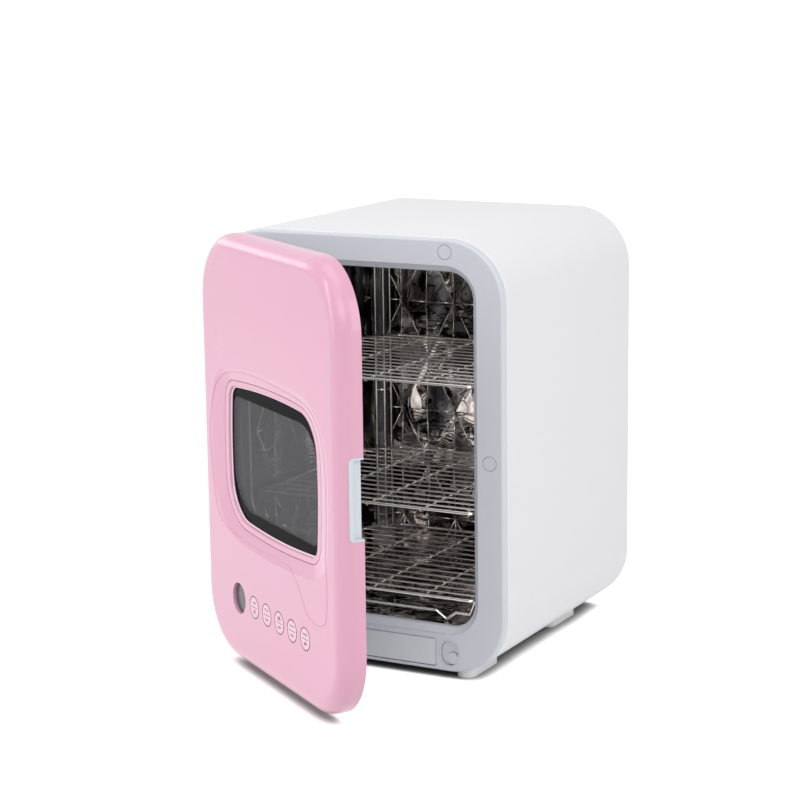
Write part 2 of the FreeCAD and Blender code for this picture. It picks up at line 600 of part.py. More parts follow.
def rim_path(z):
    """The closed outline of a rack: rounded in front, cut away behind for the lamps."""
    h, f, b = number("rack_half"), number("rack_front"), number("rack_back")
    c, r = number("rack_corner"), number("rack_bend")
    t = r * math.tan(math.pi / 8)

    def at(x, y):
        return Vector(x, y, z)

    def knee(x, y, *turns):
        """Three points of an arc about x, y at the given angles in degrees."""
        return tuple(at(x + r * math.cos(math.radians(a)), y + r * math.sin(math.radians(a))) for a in turns)

    edges = []
    front_arc = knee(h - r, f + r, -90, -45, 0)
    side_arc = knee(h - r, b - c - t, 0, 22.5, 45)
    back_arc = knee(h - c - t, b - r, 45, 67.5, 90)
    chain = [front_arc, side_arc, back_arc]
    for sign in (1, -1):
        arcs = [tuple(Vector(sign * p.x, p.y, p.z) for p in arc) for arc in chain]
        edges += [Part.Arc(*arc).toShape() for arc in arcs]
        edges += [Part.makeLine(arcs[0][2], arcs[1][0]), Part.makeLine(arcs[1][2], arcs[2][0])]
    edges.append(Part.makeLine(at(-h + r, f), at(h - r, f)))
    edges.append(Part.makeLine(at(-h + c + t, b), at(h - c - t, b)))
    return Part.Wire(Part.__sortEdges__(edges))


def rack(name, z, legs=False):
    """A welded rack: a thick rim, cross wires inside it and three runners under them."""
    h, f, b, c = (number(n) for n in ("rack_half", "rack_front", "rack_back", "rack_corner"))
    path = rim_path(z)
    profile = Part.Wire(Part.Circle(Vector(0, f, z), Vector(1, 0, 0), number("rim_wire")).toShape())
    rim = path.makePipeShell([profile], True, False)
    parts = []
    count = int(number("cross_count"))
    for k in range(1, count + 1):
        y = f + (b - f) * k / (count + 1)
        reach = min(h, h + (b - c) - y)
        start = Vector(-reach, y, z)
        parts.append(Part.makeCylinder(number("cross_wire"), 2 * reach, start, Vector(1, 0, 0)))
    under = z - number("cross_wire + long_wire - wire_bite")
    for x in (-56, 0, 56):
        parts.append(Part.makeCylinder(number("long_wire"), b - f, Vector(x, f, under), Vector(0, 1, 0)))
    if legs:
        parts += [leg_frame(f, z), leg_frame(b - c - 10, z)]
    return formed(name, rim.multiFuse(parts).removeSplitter())


def leg_frame(y, z):
    """A wire that leans in from the rim and dips to the floor in two V-shaped feet."""
    r = number("leg_wire")
    h, low_z, leg, spread = (number(n) for n in ("rack_half", "leg_wire_z", "leg_x", "leg_half"))
    tip = number("cavity_low + leg_lift") + r
    knee = h - number("leg_lean")
    points = [(-h, z), (-knee, low_z), (-leg - spread, low_z), (-leg, tip), (-leg + spread, low_z),
              (leg - spread, low_z), (leg, tip), (leg + spread, low_z), (knee, low_z), (h, z)]
    return wire([Vector(x, y, level) for x, level in points], r)


keep(rack("upper_rack_wires", number("rack_upper_z")), "rack_upper")
keep(rack("middle_rack_wires", number("rack_middle_z")), "rack_middle")
keep(rack("lower_rack_wires", number("rack_lower_z"), legs=True), "rack_lower")

# Two upright ultraviolet tubes stand in the rear corners, in sockets, behind wire guards.
tubes, tube_caps, sockets, guards = [], [], [], []
for side, sign in (("left", -1), ("right", 1)):
    x = f"{sign} * lamp_x"
    length = "lamp_high - lamp_low"
    tubes.append(cut("lamp_" + side,
                     rod("lamp_glass_" + side, x, "lamp_y", "lamp_low", "lamp_radius", length),
                     rod("lamp_gas_" + side, x, "lamp_y", "lamp_low", "lamp_radius - 0.9", length)))
    for end, low, pin_low in (("low", "lamp_low - lamp_cap", "lamp_low - lamp_cap - 6"),
                              ("high", "lamp_high", "lamp_high + lamp_cap")):
        name = f"lamp_{side}_{end}"
        pins = [rod(f"{name}_pin_{k}", f"{x} + {k} * 2.5", "lamp_y", pin_low, "1.15", "6") for k in (-1, 1)]
        tube_caps.append(join(name + "_cap",
                              rod(name + "_cup", x, "lamp_y", low, "lamp_cap_radius", "lamp_cap"), *pins))
        socket_low = "cavity_low" if end == "low" else "lamp_high + lamp_cap + 0.1"
        socket_high = "lamp_low - lamp_cap - 0.1" if end == "low" else "cavity_high"
        block = rod(name + "_socket_block", x, "lamp_y", socket_low, "socket_radius",
                    f"({socket_high}) - ({socket_low})")
        flat = box(name + "_socket_flat", f"{x} - socket_radius", "cavity_back - facet_relief - 0.1", "0",
                   "2 * socket_radius", "socket_radius", "case_height")
        holes = [rod(f"{name}_hole_{k}", f"{x} + {k} * 2.5", "lamp_y", f"{pin_low} - 0.2", "1.25", "7")
                 for k in (-1, 1)]
        sockets.append(cut(name + "_socket", block, flat, *holes))
    reach = number("socket_radius - 1.2")
    lean = reach * math.sqrt(0.5)
    lamp = Vector(sign * number("lamp_x"), number("lamp_y"), 0)
    steps = (Vector(-sign * reach, 0, 0), Vector(-sign * lean, -lean, 0), Vector(0, -reach, 0))
    foot_z, head_z = number("lamp_low - lamp_cap - 0.05"), number("lamp_high + lamp_cap + 0.05")
    bars = [Part.makeCylinder(number("guard_wire"), head_z - foot_z, lamp + step + Vector(0, 0, foot_z))
            for step in steps]
    turn = 176 if sign > 0 else 266
    for z in (foot_z + 12, (foot_z + head_z) / 2, head_z - 12):
        hoop = Part.makeCylinder(reach - 1.02, 1.2, Vector(), Vector(0, 0, 1), 98)
        hoop = hoop.cut(Part.makeCylinder(reach - 2, 1.2))
        hoop.rotate(Vector(), Vector(0, 0, 1), turn)
        bars.append(hoop.translated(lamp + Vector(0, 0, z)))
    guards.append(formed("lamp_guard_" + side, Part.makeCompound(bars)))
keep(group("tubes_group", *tubes), "lamp_tubes")
keep(group("tube_caps_group", *tube_caps), "lamp_end_caps")
keep(group("sockets_group", *sockets), "lamp_sockets")
keep(group("guards_group", *guards), "lamp_guards")

# Behind the reflector: the lamp ballast, the power board on its posts and the mains inlet.
ballast_case = box("ballast_case", "-60", f"{COVER_BACK} - cover_plate - 16", "280", "120", "16", "36")
ballast_ears = box("ballast_ears", "-70", f"{COVER_BACK} - cover_plate - 2", "288", "140", "2", "20")
keep(join("ballast_solid", ballast_case, ballast_ears), "lamp_ballast")
board_y = f"({COVER_BACK} - cover_plate - 6)"
board = [box("board_sheet", "-50", f"{board_y} - 1.6", "120", "100", "1.6", "70"),
         box("board_transformer", "-40", f"{board_y} - 14", "130", "26", "12.4", "24"),
         box("board_relay", "-2", f"{board_y} - 13", "134", "19", "11.4", "15"),
         box("board_terminals", "-44", f"{board_y} - 11", "174", "40", "9.4", "10"),
         rod("board_capacitor", "34", f"{board_y} - 13", "150", "6", "11.4", "y")]
board += [rod(f"board_post_{k}", x, f"{board_y} - 0.1", z, "2.5", "6.1", "y")
          for k, (x, z) in enumerate((("-46", "124"), ("46", "124"), ("-46", "186"), ("46", "186")))]
keep(join("board_solid", *board), "power_board")
inlet = new_body("inlet_body")
inlet_face = front_sketch(inlet, "inlet_face", f"{COVER_BACK} + 2")
centred_rectangle(inlet_face, "-88", "50", "34", "22", "4")
pad(inlet, inlet_face, "2 - screw_gap")
inlet_barrel = front_sketch(inlet, "inlet_barrel", f"{COVER_BACK} + screw_gap")
centred_rectangle(inlet_barrel, "-88", "50", "24", "16", "3.8")
pad(inlet, inlet_barrel, "18")
inlet_well = front_sketch(inlet, "inlet_well", f"{COVER_BACK} + 2")
centred_rectangle(inlet_well, "-88", "50", "17", "9", "4.3")
pocket(inlet, inlet_well, "15")
inlet_pins = front_sketch(inlet, "inlet_pins", f"{COVER_BACK} - 1")
for x in ("-92.3", "-83.7"):
    circle(inlet_pins, x, "50", "1.2")
pad(inlet, inlet_pins, "14")
keep(inlet, "mains_inlet")

# Under the floor a fan draws air through the filter and blows it over the heater.
fan = new_body("fan_body")
fan_outline = sketch_on(fan, "fan_outline", "XY_Plane", "fan_low")
centred_rectangle(fan_outline, "0", "fan_y", "fan_side", "fan_side", "5")
pad(fan, fan_outline, "fan_high - fan_low")
fan_hole = sketch_on(fan, "fan_hole", "XY_Plane", "fan_low")
circle(fan_hole, "0", "fan_y", "fan_bore")
pocket(fan, fan_hole, "fan_high - fan_low")
spokes = sketch_on(fan, "fan_spokes", "XY_Plane", "fan_low")
rounded_rectangle(spokes, "-fan_bore - 1", "fan_y - 2", "2 * fan_bore + 2", "4", "0.5")
pad(fan, spokes, "2")
cross_spokes = sketch_on(fan, "fan_cross_spokes", "XY_Plane", "fan_low")
rounded_rectangle(cross_spokes, "-2", "fan_y - fan_bore - 1", "4", "2 * fan_bore + 2", "0.5")
pad(fan, cross_spokes, "2")
hub_disc = sketch_on(fan, "fan_hub_disc", "XY_Plane", "fan_low")
circle(hub_disc, "0", "fan_y", "fan_hub")
pad(fan, hub_disc, "2")
hub_tube = sketch_on(fan, "fan_hub_tube", "XY_Plane", "fan_low")
circle(hub_tube, "0", "fan_y", "bearing_radius + 1.5")
pad(fan, hub_tube, "11")
bearing_bore = sketch_on(fan, "fan_bearing_bore", "XY_Plane", "fan_low + 1")
circle(bearing_bore, "0", "fan_y", "bearing_radius")
pocket(fan, bearing_bore, "12")
keep(fan, "fan_housing")
keep(cut("bearing_solid",
         rod("bearing_sleeve", "0", "fan_y", "fan_low + 2", "bearing_radius", "9"),
         rod("bearing_hole", "0", "fan_y", "fan_low + 1", "shaft_radius + run_gap", "12")), "fan_bearing")
keep(cut("stator_solid",
         rod("stator_disc", "0", "fan_y", "fan_low + 3.4", "stator_radius", "7.4"),
         rod("stator_hole", "0", "fan_y", "fan_low", "bearing_radius + 1.6", "14")), "fan_motor")
keep(rod("shaft_solid", "0", "fan_y", "fan_low + 1.6", "shaft_radius",
         "hub_high - hub_wall - fan_low - 1.6"), "fan_shaft")
cup = cut("rotor_cup", rod("rotor_hub", "0", "fan_y", "hub_low", "fan_hub", "hub_high - hub_low"),
          rod("rotor_hollow", "0", "fan_y", "hub_low", "fan_hub - hub_wall",
              "hub_high - hub_wall - hub_low"))
hub_reach, blade_end = number("fan_hub - 0.6"), number("blade_reach")
chord, thick = number("blade_chord"), number("blade_thick")
blades = []
for k in range(int(number("blade_count"))):
    blade = Part.makeBox(blade_end - hub_reach, chord, thick, Vector(hub_reach, -chord / 2, -thick / 2))
    blade.rotate(Vector(), Vector(1, 0, 0), number("blade_tilt"))
    blade.rotate(Vector(), Vector(0, 0, 1), 360 * k / number("blade_count"))
    blades.append(blade.translated(Vector(0, number("fan_y"), number("(hub_low + hub_high) / 2"))))
blade_ring = formed("blade_ring", Part.makeCompound(blades))
cup_hollow = rod("rotor_clearance", "0", "fan_y", "hub_low - 1", "fan_hub - hub_wall",
                 "hub_high - hub_wall - hub_low + 1")
doc.recompute()
keep(join("rotor_solid", cup, cut("blades_trimmed", blade_ring, cup_hollow)), "fan_rotor")

duct = new_body("duct_body")
duct_outline = sketch_on(duct, "duct_outline", "XY_Plane", "fan_high + 0.1")
centred_rectangle(duct_outline, "0", "fan_y", "duct_side", "duct_side", "5")
centred_rectangle(duct_outline, "0", "fan_y", "duct_side - 2 * duct_wall", "duct_side - 2 * duct_wall", "3")
pad(duct, duct_outline, "cavity_low - sheet_thick - fan_high - 0.15")
keep(duct, "air_duct")
heater = new_body("heater_body")
heater_outline = sketch_on(heater, "heater_outline", "XY_Plane", "fan_high + 3")
centred_rectangle(heater_outline, "0", "fan_y", "79.9", "60", "0.6")
pad(heater, heater_outline, "12")
heater_gap = sketch_on(heater, "heater_gap", "XY_Plane", "fan_high + 3")
rounded_rectangle(heater_gap, "-35.5", "fan_y - 26", "2.8", "52", "0.5")
repeat(heater, pocket(heater, heater_gap, "12"), heater_gap, "H_Axis", "4.25", "17")
keep(heater, "ptc_heater")
keep(join("cutout_solid",
          rod("cutout_disc", "duct_side / 2 + 0.05", "fan_y", "32", "8", "7", "x"),
          box("cutout_lugs", "duct_side / 2 + 7", "fan_y - 6", "29.5", "5", "12", "5")), "thermal_cutout")
keep(box("filter_solid", "-filter_side / 2", "fan_y - filter_side / 2", "filter_low", "filter_side",
         "filter_side", "filter_thick"), "air_filter")
runners = []
for side, sign in (("left", -1), ("right", 1)):
    shelf_x = "tray_half - 4" if sign > 0 else "-tray_half - 3"
    web_x = "tray_half + 0.6" if sign > 0 else "-tray_half - 3"
    runners.append(join("runner_" + side,
                        box("runner_shelf_" + side, shelf_x, "-118", "case_wall + base_flange_thick + 0.05",
                            "7", "102", "tray_low - case_wall - base_flange_thick - 0.2"),
                        box("runner_web_" + side, web_x, "-118", "case_wall + base_flange_thick + 0.05",
                            "2.4", "102", "9")))
keep(group("runners_group", *runners), "tray_runners")

# The drip tray and its flat front slide out under the throat.
tray = new_body("tray_body")
TRAY_FRONT = f"({FACE} + panel_thick)"
tray_outline = sketch_on(tray, "tray_outline", "XY_Plane", "tray_low")
rounded_rectangle(tray_outline, "-tray_half", TRAY_FRONT, "2 * tray_half", "tray_length", "3")
pad(tray, tray_outline, "tray_high - tray_low")
tray_well = sketch_on(tray, "tray_well", "XY_Plane", "tray_low + tray_wall")
rounded_rectangle(tray_well, "-tray_half + tray_wall", f"{TRAY_FRONT} + tray_wall",
                  "2 * tray_half - 2 * tray_wall", "tray_length - 2 * tray_wall", "1.4 + tray_wall")
pocket(tray, tray_well, "tray_high - tray_low")
keep(tray, "drip_tray")
front_panel = new_body("tray_front_body")
front_panel_outline = front_sketch(front_panel, "tray_front_outline", TRAY_FRONT)
rounded_rectangle(front_panel_outline, "-panel_half", "panel_low", "2 * panel_half",
                  "panel_high - panel_low", "1.6")
pad(front_panel, front_panel_outline, "panel_thick")
dress(front_panel, "Chamfer", lies_at(FACE), Size="0.4")
keep(front_panel, "tray_front")

# The oval switch: a housing in the frame, a sprung plunger and the microswitch behind it.
housing = new_body("switch_body")
collar = front_sketch(housing, "switch_collar", f"{FACE} + frame_face")
centred_rectangle(collar, "oval_x", "oval_z", "oval_wide - 0.2", "oval_high - 0.2", "oval_wide / 2 - 0.3")
pad(housing, collar, "frame_face - 0.1")
block = front_sketch(housing, "switch_block", f"{FACE} + frame_face + 4")
centred_rectangle(block, "oval_x", "oval_z + 0.4", "oval_wide - 2", "oval_high - 4", "oval_wide / 2 - 1.2")
pad(housing, block, "4")
sleeve = front_sketch(housing, "switch_sleeve", f"{FACE} + 12.2")
circle(sleeve, "plunger_x", "plunger_z", "sleeve_radius + 0.5")
pad(housing, sleeve, "12.2 - frame_face")
oval_well = front_sketch(housing, "switch_well", FACE)
centred_rectangle(oval_well, "oval_x", "oval_z", "oval_wide - 2 * oval_rim", "oval_high - 2 * oval_rim",
                  "oval_wide / 2 - oval_rim - 0.2")
pocket(housing, oval_well, "oval_deep", forwards=False)
bore = front_sketch(housing, "switch_bore", FACE)
circle(bore, "plunger_x", "plunger_z", "plunger_radius + run_gap")
pocket(housing, bore, "11", forwards=False)
flange_room = front_sketch(housing, "switch_flange_room", f"{FACE} + 11")
circle(flange_room, "plunger_x", "plunger_z", "plunger_radius + 1")
pocket(housing, flange_room, "5.1")
stem_hole = front_sketch(housing, "switch_stem_hole", f"{FACE} + 13")
circle(stem_hole, "plunger_x", "plunger_z", "stem_radius + run_gap")
pocket(housing, stem_hole, "3")
keep(housing, "switch_housing")
PLUNGER_FACE = f"({FACE} + plunger_recess)"
plunger = cut("plunger_shell",
              join("plunger_outside",
                   rod("plunger_barrel", "plunger_x", PLUNGER_FACE, "plunger_z", "plunger_radius",
                       "plunger_length", "y"),
                   rod("plunger_flange", "plunger_x", f"{PLUNGER_FACE} + plunger_length - 0.9", "plunger_z",
                       "plunger_radius + 0.8", "0.9", "y")),
              rod("plunger_cup", "plunger_x", f"{PLUNGER_FACE} + plunger_wall", "plunger_z",
                  "plunger_radius - plunger_wall", "plunger_length", "y"))
keep(join("plunger_solid", plunger,
          rod("plunger_stem", "plunger_x", f"{PLUNGER_FACE} + plunger_wall - 0.1", "plunger_z",
              "stem_radius", "12.4", "y")), "switch_plunger")
turns = Part.makeHelix(1.25, 6, 3)
turn_wire = Part.Wire(Part.Circle(Vector(3, 0, 0), Vector(0, 1, 0), 0.3).toShape())
coil = Part.Wire(turns.Edges).makePipeShell([turn_wire], True, True)
keep(formed("spring_coil", coil), "switch_spring",
     Placement(Vector(number("plunger_x"), number(f"{FACE} + 4.55"), number("plunger_z")), TURNED["y"]))
keep(box("microswitch", "plunger_x - 10", f"{PLUNGER_FACE} + 16.1", "plunger_z - 6", "20", "6.5", "10"),
     "door_switch")

# Hinge lugs stand on the frame; each carries a bush for the door's pin.
for label, z in (("lower", "hinge_low"), ("upper", "hinge_high")):
    eye = rod("lug_eye_" + label, PIVOT_X, PIVOT_Y, f"{z} - lug_half", "eye_radius", "2 * lug_half")
    stem = box("lug_stem_" + label, f"{PIVOT_X} + 1", f"{PIVOT_Y} - 3", f"{z} - lug_half", "9",
               f"{FACE} + frame_face + 0.1 - ({PIVOT_Y} - 3)", "2 * lug_half")
    foot = box("lug_foot_" + label, f"{PIVOT_X} - 3.5", f"{FACE} + frame_face + 0.05", f"{z} - 14",
               "19", "2.5", "28")
    keep(cut("lug_" + label, join("lug_blank_" + label, eye, stem, foot),
             rod("lug_bore_" + label, PIVOT_X, PIVOT_Y, f"{z} - lug_half", "bush_radius", "2 * lug_half")),
         "hinge_lug_" + label)
bushes = []
for label, z in (("lower", "hinge_low"), ("upper", "hinge_high")):
    foot = f"{z} - lug_half"
    bushes.append(cut("bush_" + label,
                      rod("bush_outside_" + label, PIVOT_X, PIVOT_Y, foot, "bush_radius", "2 * lug_half"),
                      rod("bush_bore_" + label, PIVOT_X, PIVOT_Y, foot, "pin_radius + run_gap",
                          "2 * lug_half")))
keep(group("bushes_group", *bushes), "hinge_bushes")

# The door, drawn closed. Its depths run forward from its back plane.
swing = Placement(Vector(), Rotation(Vector(0, 0, 1), -number("door_open")),
                  Vector(number(PIVOT_X), number(PIVOT_Y), 0))


def ahead(depth):
    """The Y of a plane a given depth in front of the door's back."""
    return f"({DOOR_BACK} - ({depth}))"


def bulged_outline(y, half_w, half_h, corners):
    """A window outline of four bowed sides joined by four corner arcs of their own radii."""
    side, top = number("window_side_arc"), number("window_top_arc")
    mid_x, mid_z = number("window_x"), number("window_z")
    hubs = {"right": (half_w - side, 0, side), "left": (side - half_w, 0, side),
            "top": (0, half_h - top, top), "bottom": (0, top - half_h, top)}
    order = (("right", "top"), ("top", "left"), ("left", "bottom"), ("bottom", "right"))
    signs = ((1, 1), (-1, 1), (-1, -1), (1, -1))

    def point(x, z):
        return Vector(mid_x + x, y, mid_z + z)

    knees = []
    for (first, second), (sx, sz), r in zip(order, signs, corners):
        x1, z1, r1 = hubs[first]
        x2, z2, r2 = hubs[second]
        d = math.hypot(x2 - x1, z2 - z1)
        a = ((r1 - r) ** 2 - (r2 - r) ** 2 + d * d) / (2 * d)
        h = math.sqrt((r1 - r) ** 2 - a * a)
        ux, uz = (x2 - x1) / d, (z2 - z1) / d
        options = [(x1 + a * ux - k * h * uz, z1 + a * uz + k * h * ux) for k in (1, -1)]
        cx, cz = max(options, key=lambda p: p[0] * sx + p[1] * sz)
        ends = []
        for hx, hz in ((x1, z1), (x2, z2)):
            reach = math.hypot(cx - hx, cz - hz)
            ends.append((cx + r * (cx - hx) / reach, cz + r * (cz - hz) / reach))
        mx, mz = (ends[0][0] + ends[1][0]) / 2 - cx, (ends[0][1] + ends[1][1]) / 2 - cz
        reach = math.hypot(mx, mz)
        knees.append((ends[0], (cx + r * mx / reach, cz + r * mz / reach), ends[1]))
    middles = {"top": (0, half_h), "left": (-half_w, 0), "bottom": (0, -half_h), "right": (half_w, 0)}
    edges = []
    for k, knee in enumerate(knees):
        edges.append(Part.Arc(*(point(*p) for p in knee)).toShape())
        following = knees[(k + 1) % 4]
        ends = point(*knee[2]), point(*middles[order[k][1]]), point(*following[0])
        edges.append(Part.Arc(*ends).toShape())
    return Part.Wire(edges)


def window_wire(depth, grow_w=0.0, grow_h=None):
    """The window outline at a depth, grown sideways and upwards."""
    grow_h = grow_w if grow_h is None else grow_h
    grow = (grow_w + grow_h) / 2
    return bulged_outline(number(ahead(depth)), number("window_half_w") + grow_w,
                          number("window_half_h") + grow_h, [r + grow for r in (36, 14, 40, 13)])


def window_block(name, levels, ruled=True):
    return formed(name, Part.makeLoft([window_wire(*level) for level in levels], True, ruled))


def door_outline(body, name, depth, inset):
    sketch = front_sketch(body, name, ahead(depth))
    centred_rectangle(sketch, "0", "door_low + door_height / 2", f"case_width - 2 * ({inset})",
                      f"door_height - 2 * ({inset})", f"door_radius - ({inset})")
    return sketch


LIP = "door_thick - window_sunk"
RING, DISH = f"{LIP} + lip_thick", "door_thick - ring_sunk"

# The pink shell: a pillow-edged pan. A dish leads in to a steep step round the window.
outside = new_body("door_outside")
pad(outside, door_outline(outside, "door_outline", "0", "0"), "door_thick")
dress(outside, "Fillet", lies_at(DOOR_FRONT), Radius="door_edge")
inside = new_body("door_inside")
pad(inside, door_outline(inside, "door_room", "-1", "door_wall"), "door_thick - door_wall + 1")
dress(inside, "Fillet", lies_at(f"{DOOR_FRONT} + door_wall"), Radius="door_edge - door_wall")
ring_w, ring_h = number("ring_wide"), number("ring_high")
dish_w, dish_h = ring_w + number("dish_wide"), ring_h + number("dish_high")
lip_w = number("glass_lap") + 4.5
dish = window_block("dish", [(RING, 0.0), (f"{DISH} - 0.3", number("step_wide")), (DISH, ring_w, ring_h),
                             ("door_thick + 0.02", dish_w, dish_h), ("door_thick + 3", dish_w, dish_h)])
collar_body = window_block("window_collar", [("9.5", lip_w), (f"{RING} - 0.6", lip_w + 0.5),
                                             (f"{DISH} - door_wall", ring_w + 3, ring_h + 3),
                                             ("door_thick - 1", dish_w + 5, dish_h + 4)])
mouth = window_block("window_mouth", [("9", 0.0), ("door_thick", 0.0)])
groove_w = number("groove_wide / 2")
outer, inner = (ring_w + groove_w, ring_h + groove_w), (ring_w - groove_w, ring_h - groove_w)
bed = f"{DISH} - groove_deep"
groove = cut("surround_groove",
             window_block("groove_outside", [(bed, *outer), ("door_thick + 1", *outer)]),
             window_block("groove_inside", [(bed + " - 1", *inner), ("door_thick + 2", *inner)]))
seat_w = number("glass_lap + 0.1")
seat = window_block("window_seat", [("8", seat_w), (LIP, seat_w)])
MID_Z = "display_z"
display_boss = rod("display_boss", "display_x", ahead("door_thick - 1"), MID_Z, "display_collar", "7", "y")
post_tops = ahead("door_thick - 2")
post_places = (("-139", "150"), ("-139", "250"), ("139", "110"), ("139", "290"),
               ("-60", "14"), ("60", "14"), ("-60", "387"), ("60", "387"))
posts = [rod(f"panel_post_{k}", x, post_tops, z, "4", "door_thick - 4.6", "y")
         for k, (x, z) in enumerate(post_places)]
board_posts = [rod(f"board_stand_{k}", x, post_tops, z, "3", "door_thick - 16.2", "y")
               for k, (x, z) in enumerate((("-86", "48"), ("86", "48"), ("-86", "80"), ("86", "80")))]
room = cut("door_room_left", inside, collar_body, display_boss, *posts, *board_posts)
hinge_notches = []
for label, z in (("lower", "hinge_low"), ("upper", "hinge_high")):
    hinge_notches.append(box("hinge_notch_" + label, f"{PIVOT_X} - notch_reach", f"{PIVOT_Y} - notch_half",
                             f"{z} - notch_half - 0.4", "notch_reach + 11", "notch_half + 13",
                             "2 * notch_half + 0.8"))
corner_block = cut("hinge_corner",
                   box("hinge_corner_block", f"{PIVOT_X} - 15", PIVOT_Y, "-5", "15", "15",
                       "door_height + 10"),
                   rod("hinge_corner_round", PIVOT_X, PIVOT_Y, "-6", "sweep_radius", "door_height + 12"))


def grip_slab(name, x, wide, gap, behind):
    """A block in the door's free edge whose two front corners are rounded."""
    low, high, r = f"grip_low + {gap}", f"grip_high - {gap}", "grip_radius"
    front, knee = f"grip_deep - {gap}", f"grip_deep - {gap} - {r}"
    return join(name,
                box(name + "_back", x, ahead(knee), low, wide, f"{knee} + {behind}", f"{high} - ({low})"),
                box(name + "_middle", x, ahead(front), f"{low} + {r}", wide, f"{r} + 0.1",
                    f"{high} - ({low}) - 2 * {r}"),
                rod(name + "_foot", x, ahead(knee), f"{low} + {r}", r, wide, "x"),
                rod(name + "_head", x, ahead(knee), f"{high} - {r}", r, wide, "x"))


grip_notch = grip_slab("grip_notch", "case_width / 2 - 9.3", "12", "0", "5")
bores = [rod(f"panel_bore_{k}", x, ahead("14"), z, "1.3", "12", "y") for k, (x, z) in enumerate(post_places)]
openings = [rod("display_hole", "display_x", ahead("door_thick + 1"), MID_Z, "display_radius", "12", "y"),
            rod("display_seat", "display_x", ahead("door_thick - display_sunk"), MID_Z, "lens_radius + 0.1",
                "12", "y")]
doc.recompute()
shell = cut("door_shell_solid", outside, room, dish, groove, mouth, seat, corner_block, grip_notch,
            *hinge_notches, *bores, *openings)
doc.recompute()
keep(shell, "door_shell", swing)

# The inner panel closes the back; its raised middle fits the throat and holds a second pane.
panel = new_body("panel_body")
pad(panel, door_outline(panel, "panel_outline", "0", "door_wall + lining_gap"), "lining_thick")
plug = front_sketch(panel, "panel_plug", ahead("-plug_deep"))
rounded_rectangle(plug, "-plug_half", "plug_low", "2 * plug_half", "plug_high - plug_low", "24")
pad(panel, plug, "plug_deep")
plug_room = front_sketch(panel, "panel_plug_room", ahead("-plug_deep + plug_wall"))
rounded_rectangle(plug_room, "-plug_half + plug_wall", "plug_low + plug_wall",
                  "2 * plug_half - 2 * plug_wall", "plug_high - plug_low - 2 * plug_wall", "24 - plug_wall")
pocket(panel, plug_room, "plug_deep + lining_thick")
pane_hole = front_sketch(panel, "panel_window", ahead("-plug_deep"))
centred_rectangle(pane_hole, "window_x", "window_z", "2 * window_half_w + 2", "2 * window_half_h + 4", "24")
pocket(panel, pane_hole, "plug_wall")
gasket_room = front_sketch(panel, "panel_groove", ahead("0"))
GASKET_MIDDLE = "(gasket_low + gasket_high) / 2"
for k in (1, -1):
    more = f"{k} * (gasket_wide + 0.1)"
    centred_rectangle(gasket_room, "0", GASKET_MIDDLE, f"2 * gasket_half + {more}",
                      f"gasket_high - gasket_low + {more}", f"30 + {k} * gasket_wide / 2")
pocket(panel, gasket_room, "gasket_deep")
panel_holes = front_sketch(panel, "panel_screw_holes", ahead("0"))
sinks = front_sketch(panel, "panel_sinks", ahead("0"))
for x, z in post_places:
    circle(panel_holes, x, z, "1.6")
    circle(sinks, x, z, "3.3")
pocket(panel, sinks, "1.4")
pocket(panel, panel_holes, "lining_thick")
grip_gap = box("panel_grip_gap", "143", ahead("lining_thick + 1"), "grip_low - 2", "10", "lining_thick + 3",
               "grip_high - grip_low + 4")
keep(cut("panel_solid", panel, corner_block, grip_gap, *hinge_notches), "door_inner_panel", swing)
keep(group("post_group", rod("post_tip", "plunger_x", ahead("0"), "plunger_z", "3", "1.2", "y")),
     "switch_post", swing)

gasket = new_body("gasket_body")
gasket_outline = front_sketch(gasket, "gasket_outline", ahead("-gasket_proud"))
for k in (1, -1):
    more = f"{k} * gasket_wide"
    centred_rectangle(gasket_outline, "0", GASKET_MIDDLE, f"2 * gasket_half + {more}",
                      f"gasket_high - gasket_low + {more}", f"30 + {more} / 2")
pad(gasket, gasket_outline, "gasket_proud + gasket_deep - 0.05")
keep(gasket, "door_gasket", swing)

# Window: bordered glass behind the pink lip, a clamp ring behind it and a pane in the inner panel.
glass_w = number("glass_lap")
keep(window_block("glass_solid", [(f"{LIP} - glass_thick", glass_w), (f"{LIP} - 0.05", glass_w)]),
     "window_glass", swing)
doc.recompute()
clamp_back, clamp_front = f"{LIP} - glass_thick - retainer_thick", f"{LIP} - glass_thick - 0.05"
clamp = cut("clamp_solid", window_block("clamp_outside", [(clamp_back, glass_w), (clamp_front, glass_w)]),
            window_block("clamp_inside", [(f"{clamp_back} - 1", -6.0), (f"{clamp_front} + 1", -6.0)]))
keep(clamp, "window_retainer", swing)
pane = new_body("pane_body")
pane_outline = front_sketch(pane, "pane_outline", ahead("-plug_deep + plug_wall + 0.05"))
centred_rectangle(pane_outline, "window_x", "window_z", "2 * window_half_w + 10", "2 * window_half_h + 12",
                  "28")
pad(pane, pane_outline, "2")
keep(pane, "window_inner_pane", swing)

# The grip: a pale insert in the free edge, scooped so that a finger can pull from behind.
grip_block = grip_slab("grip_block", "case_width / 2 - 9.2", "9.1", "grip_gap", "0")
scoop = rod("grip_scoop_tool", "case_width / 2 + 8", ahead("-2"), "grip_low + grip_wall", "14.1",
            "grip_high - grip_low - 2 * grip_wall")
keep(cut("grip_solid", grip_block, scoop), "handle_insert", swing)

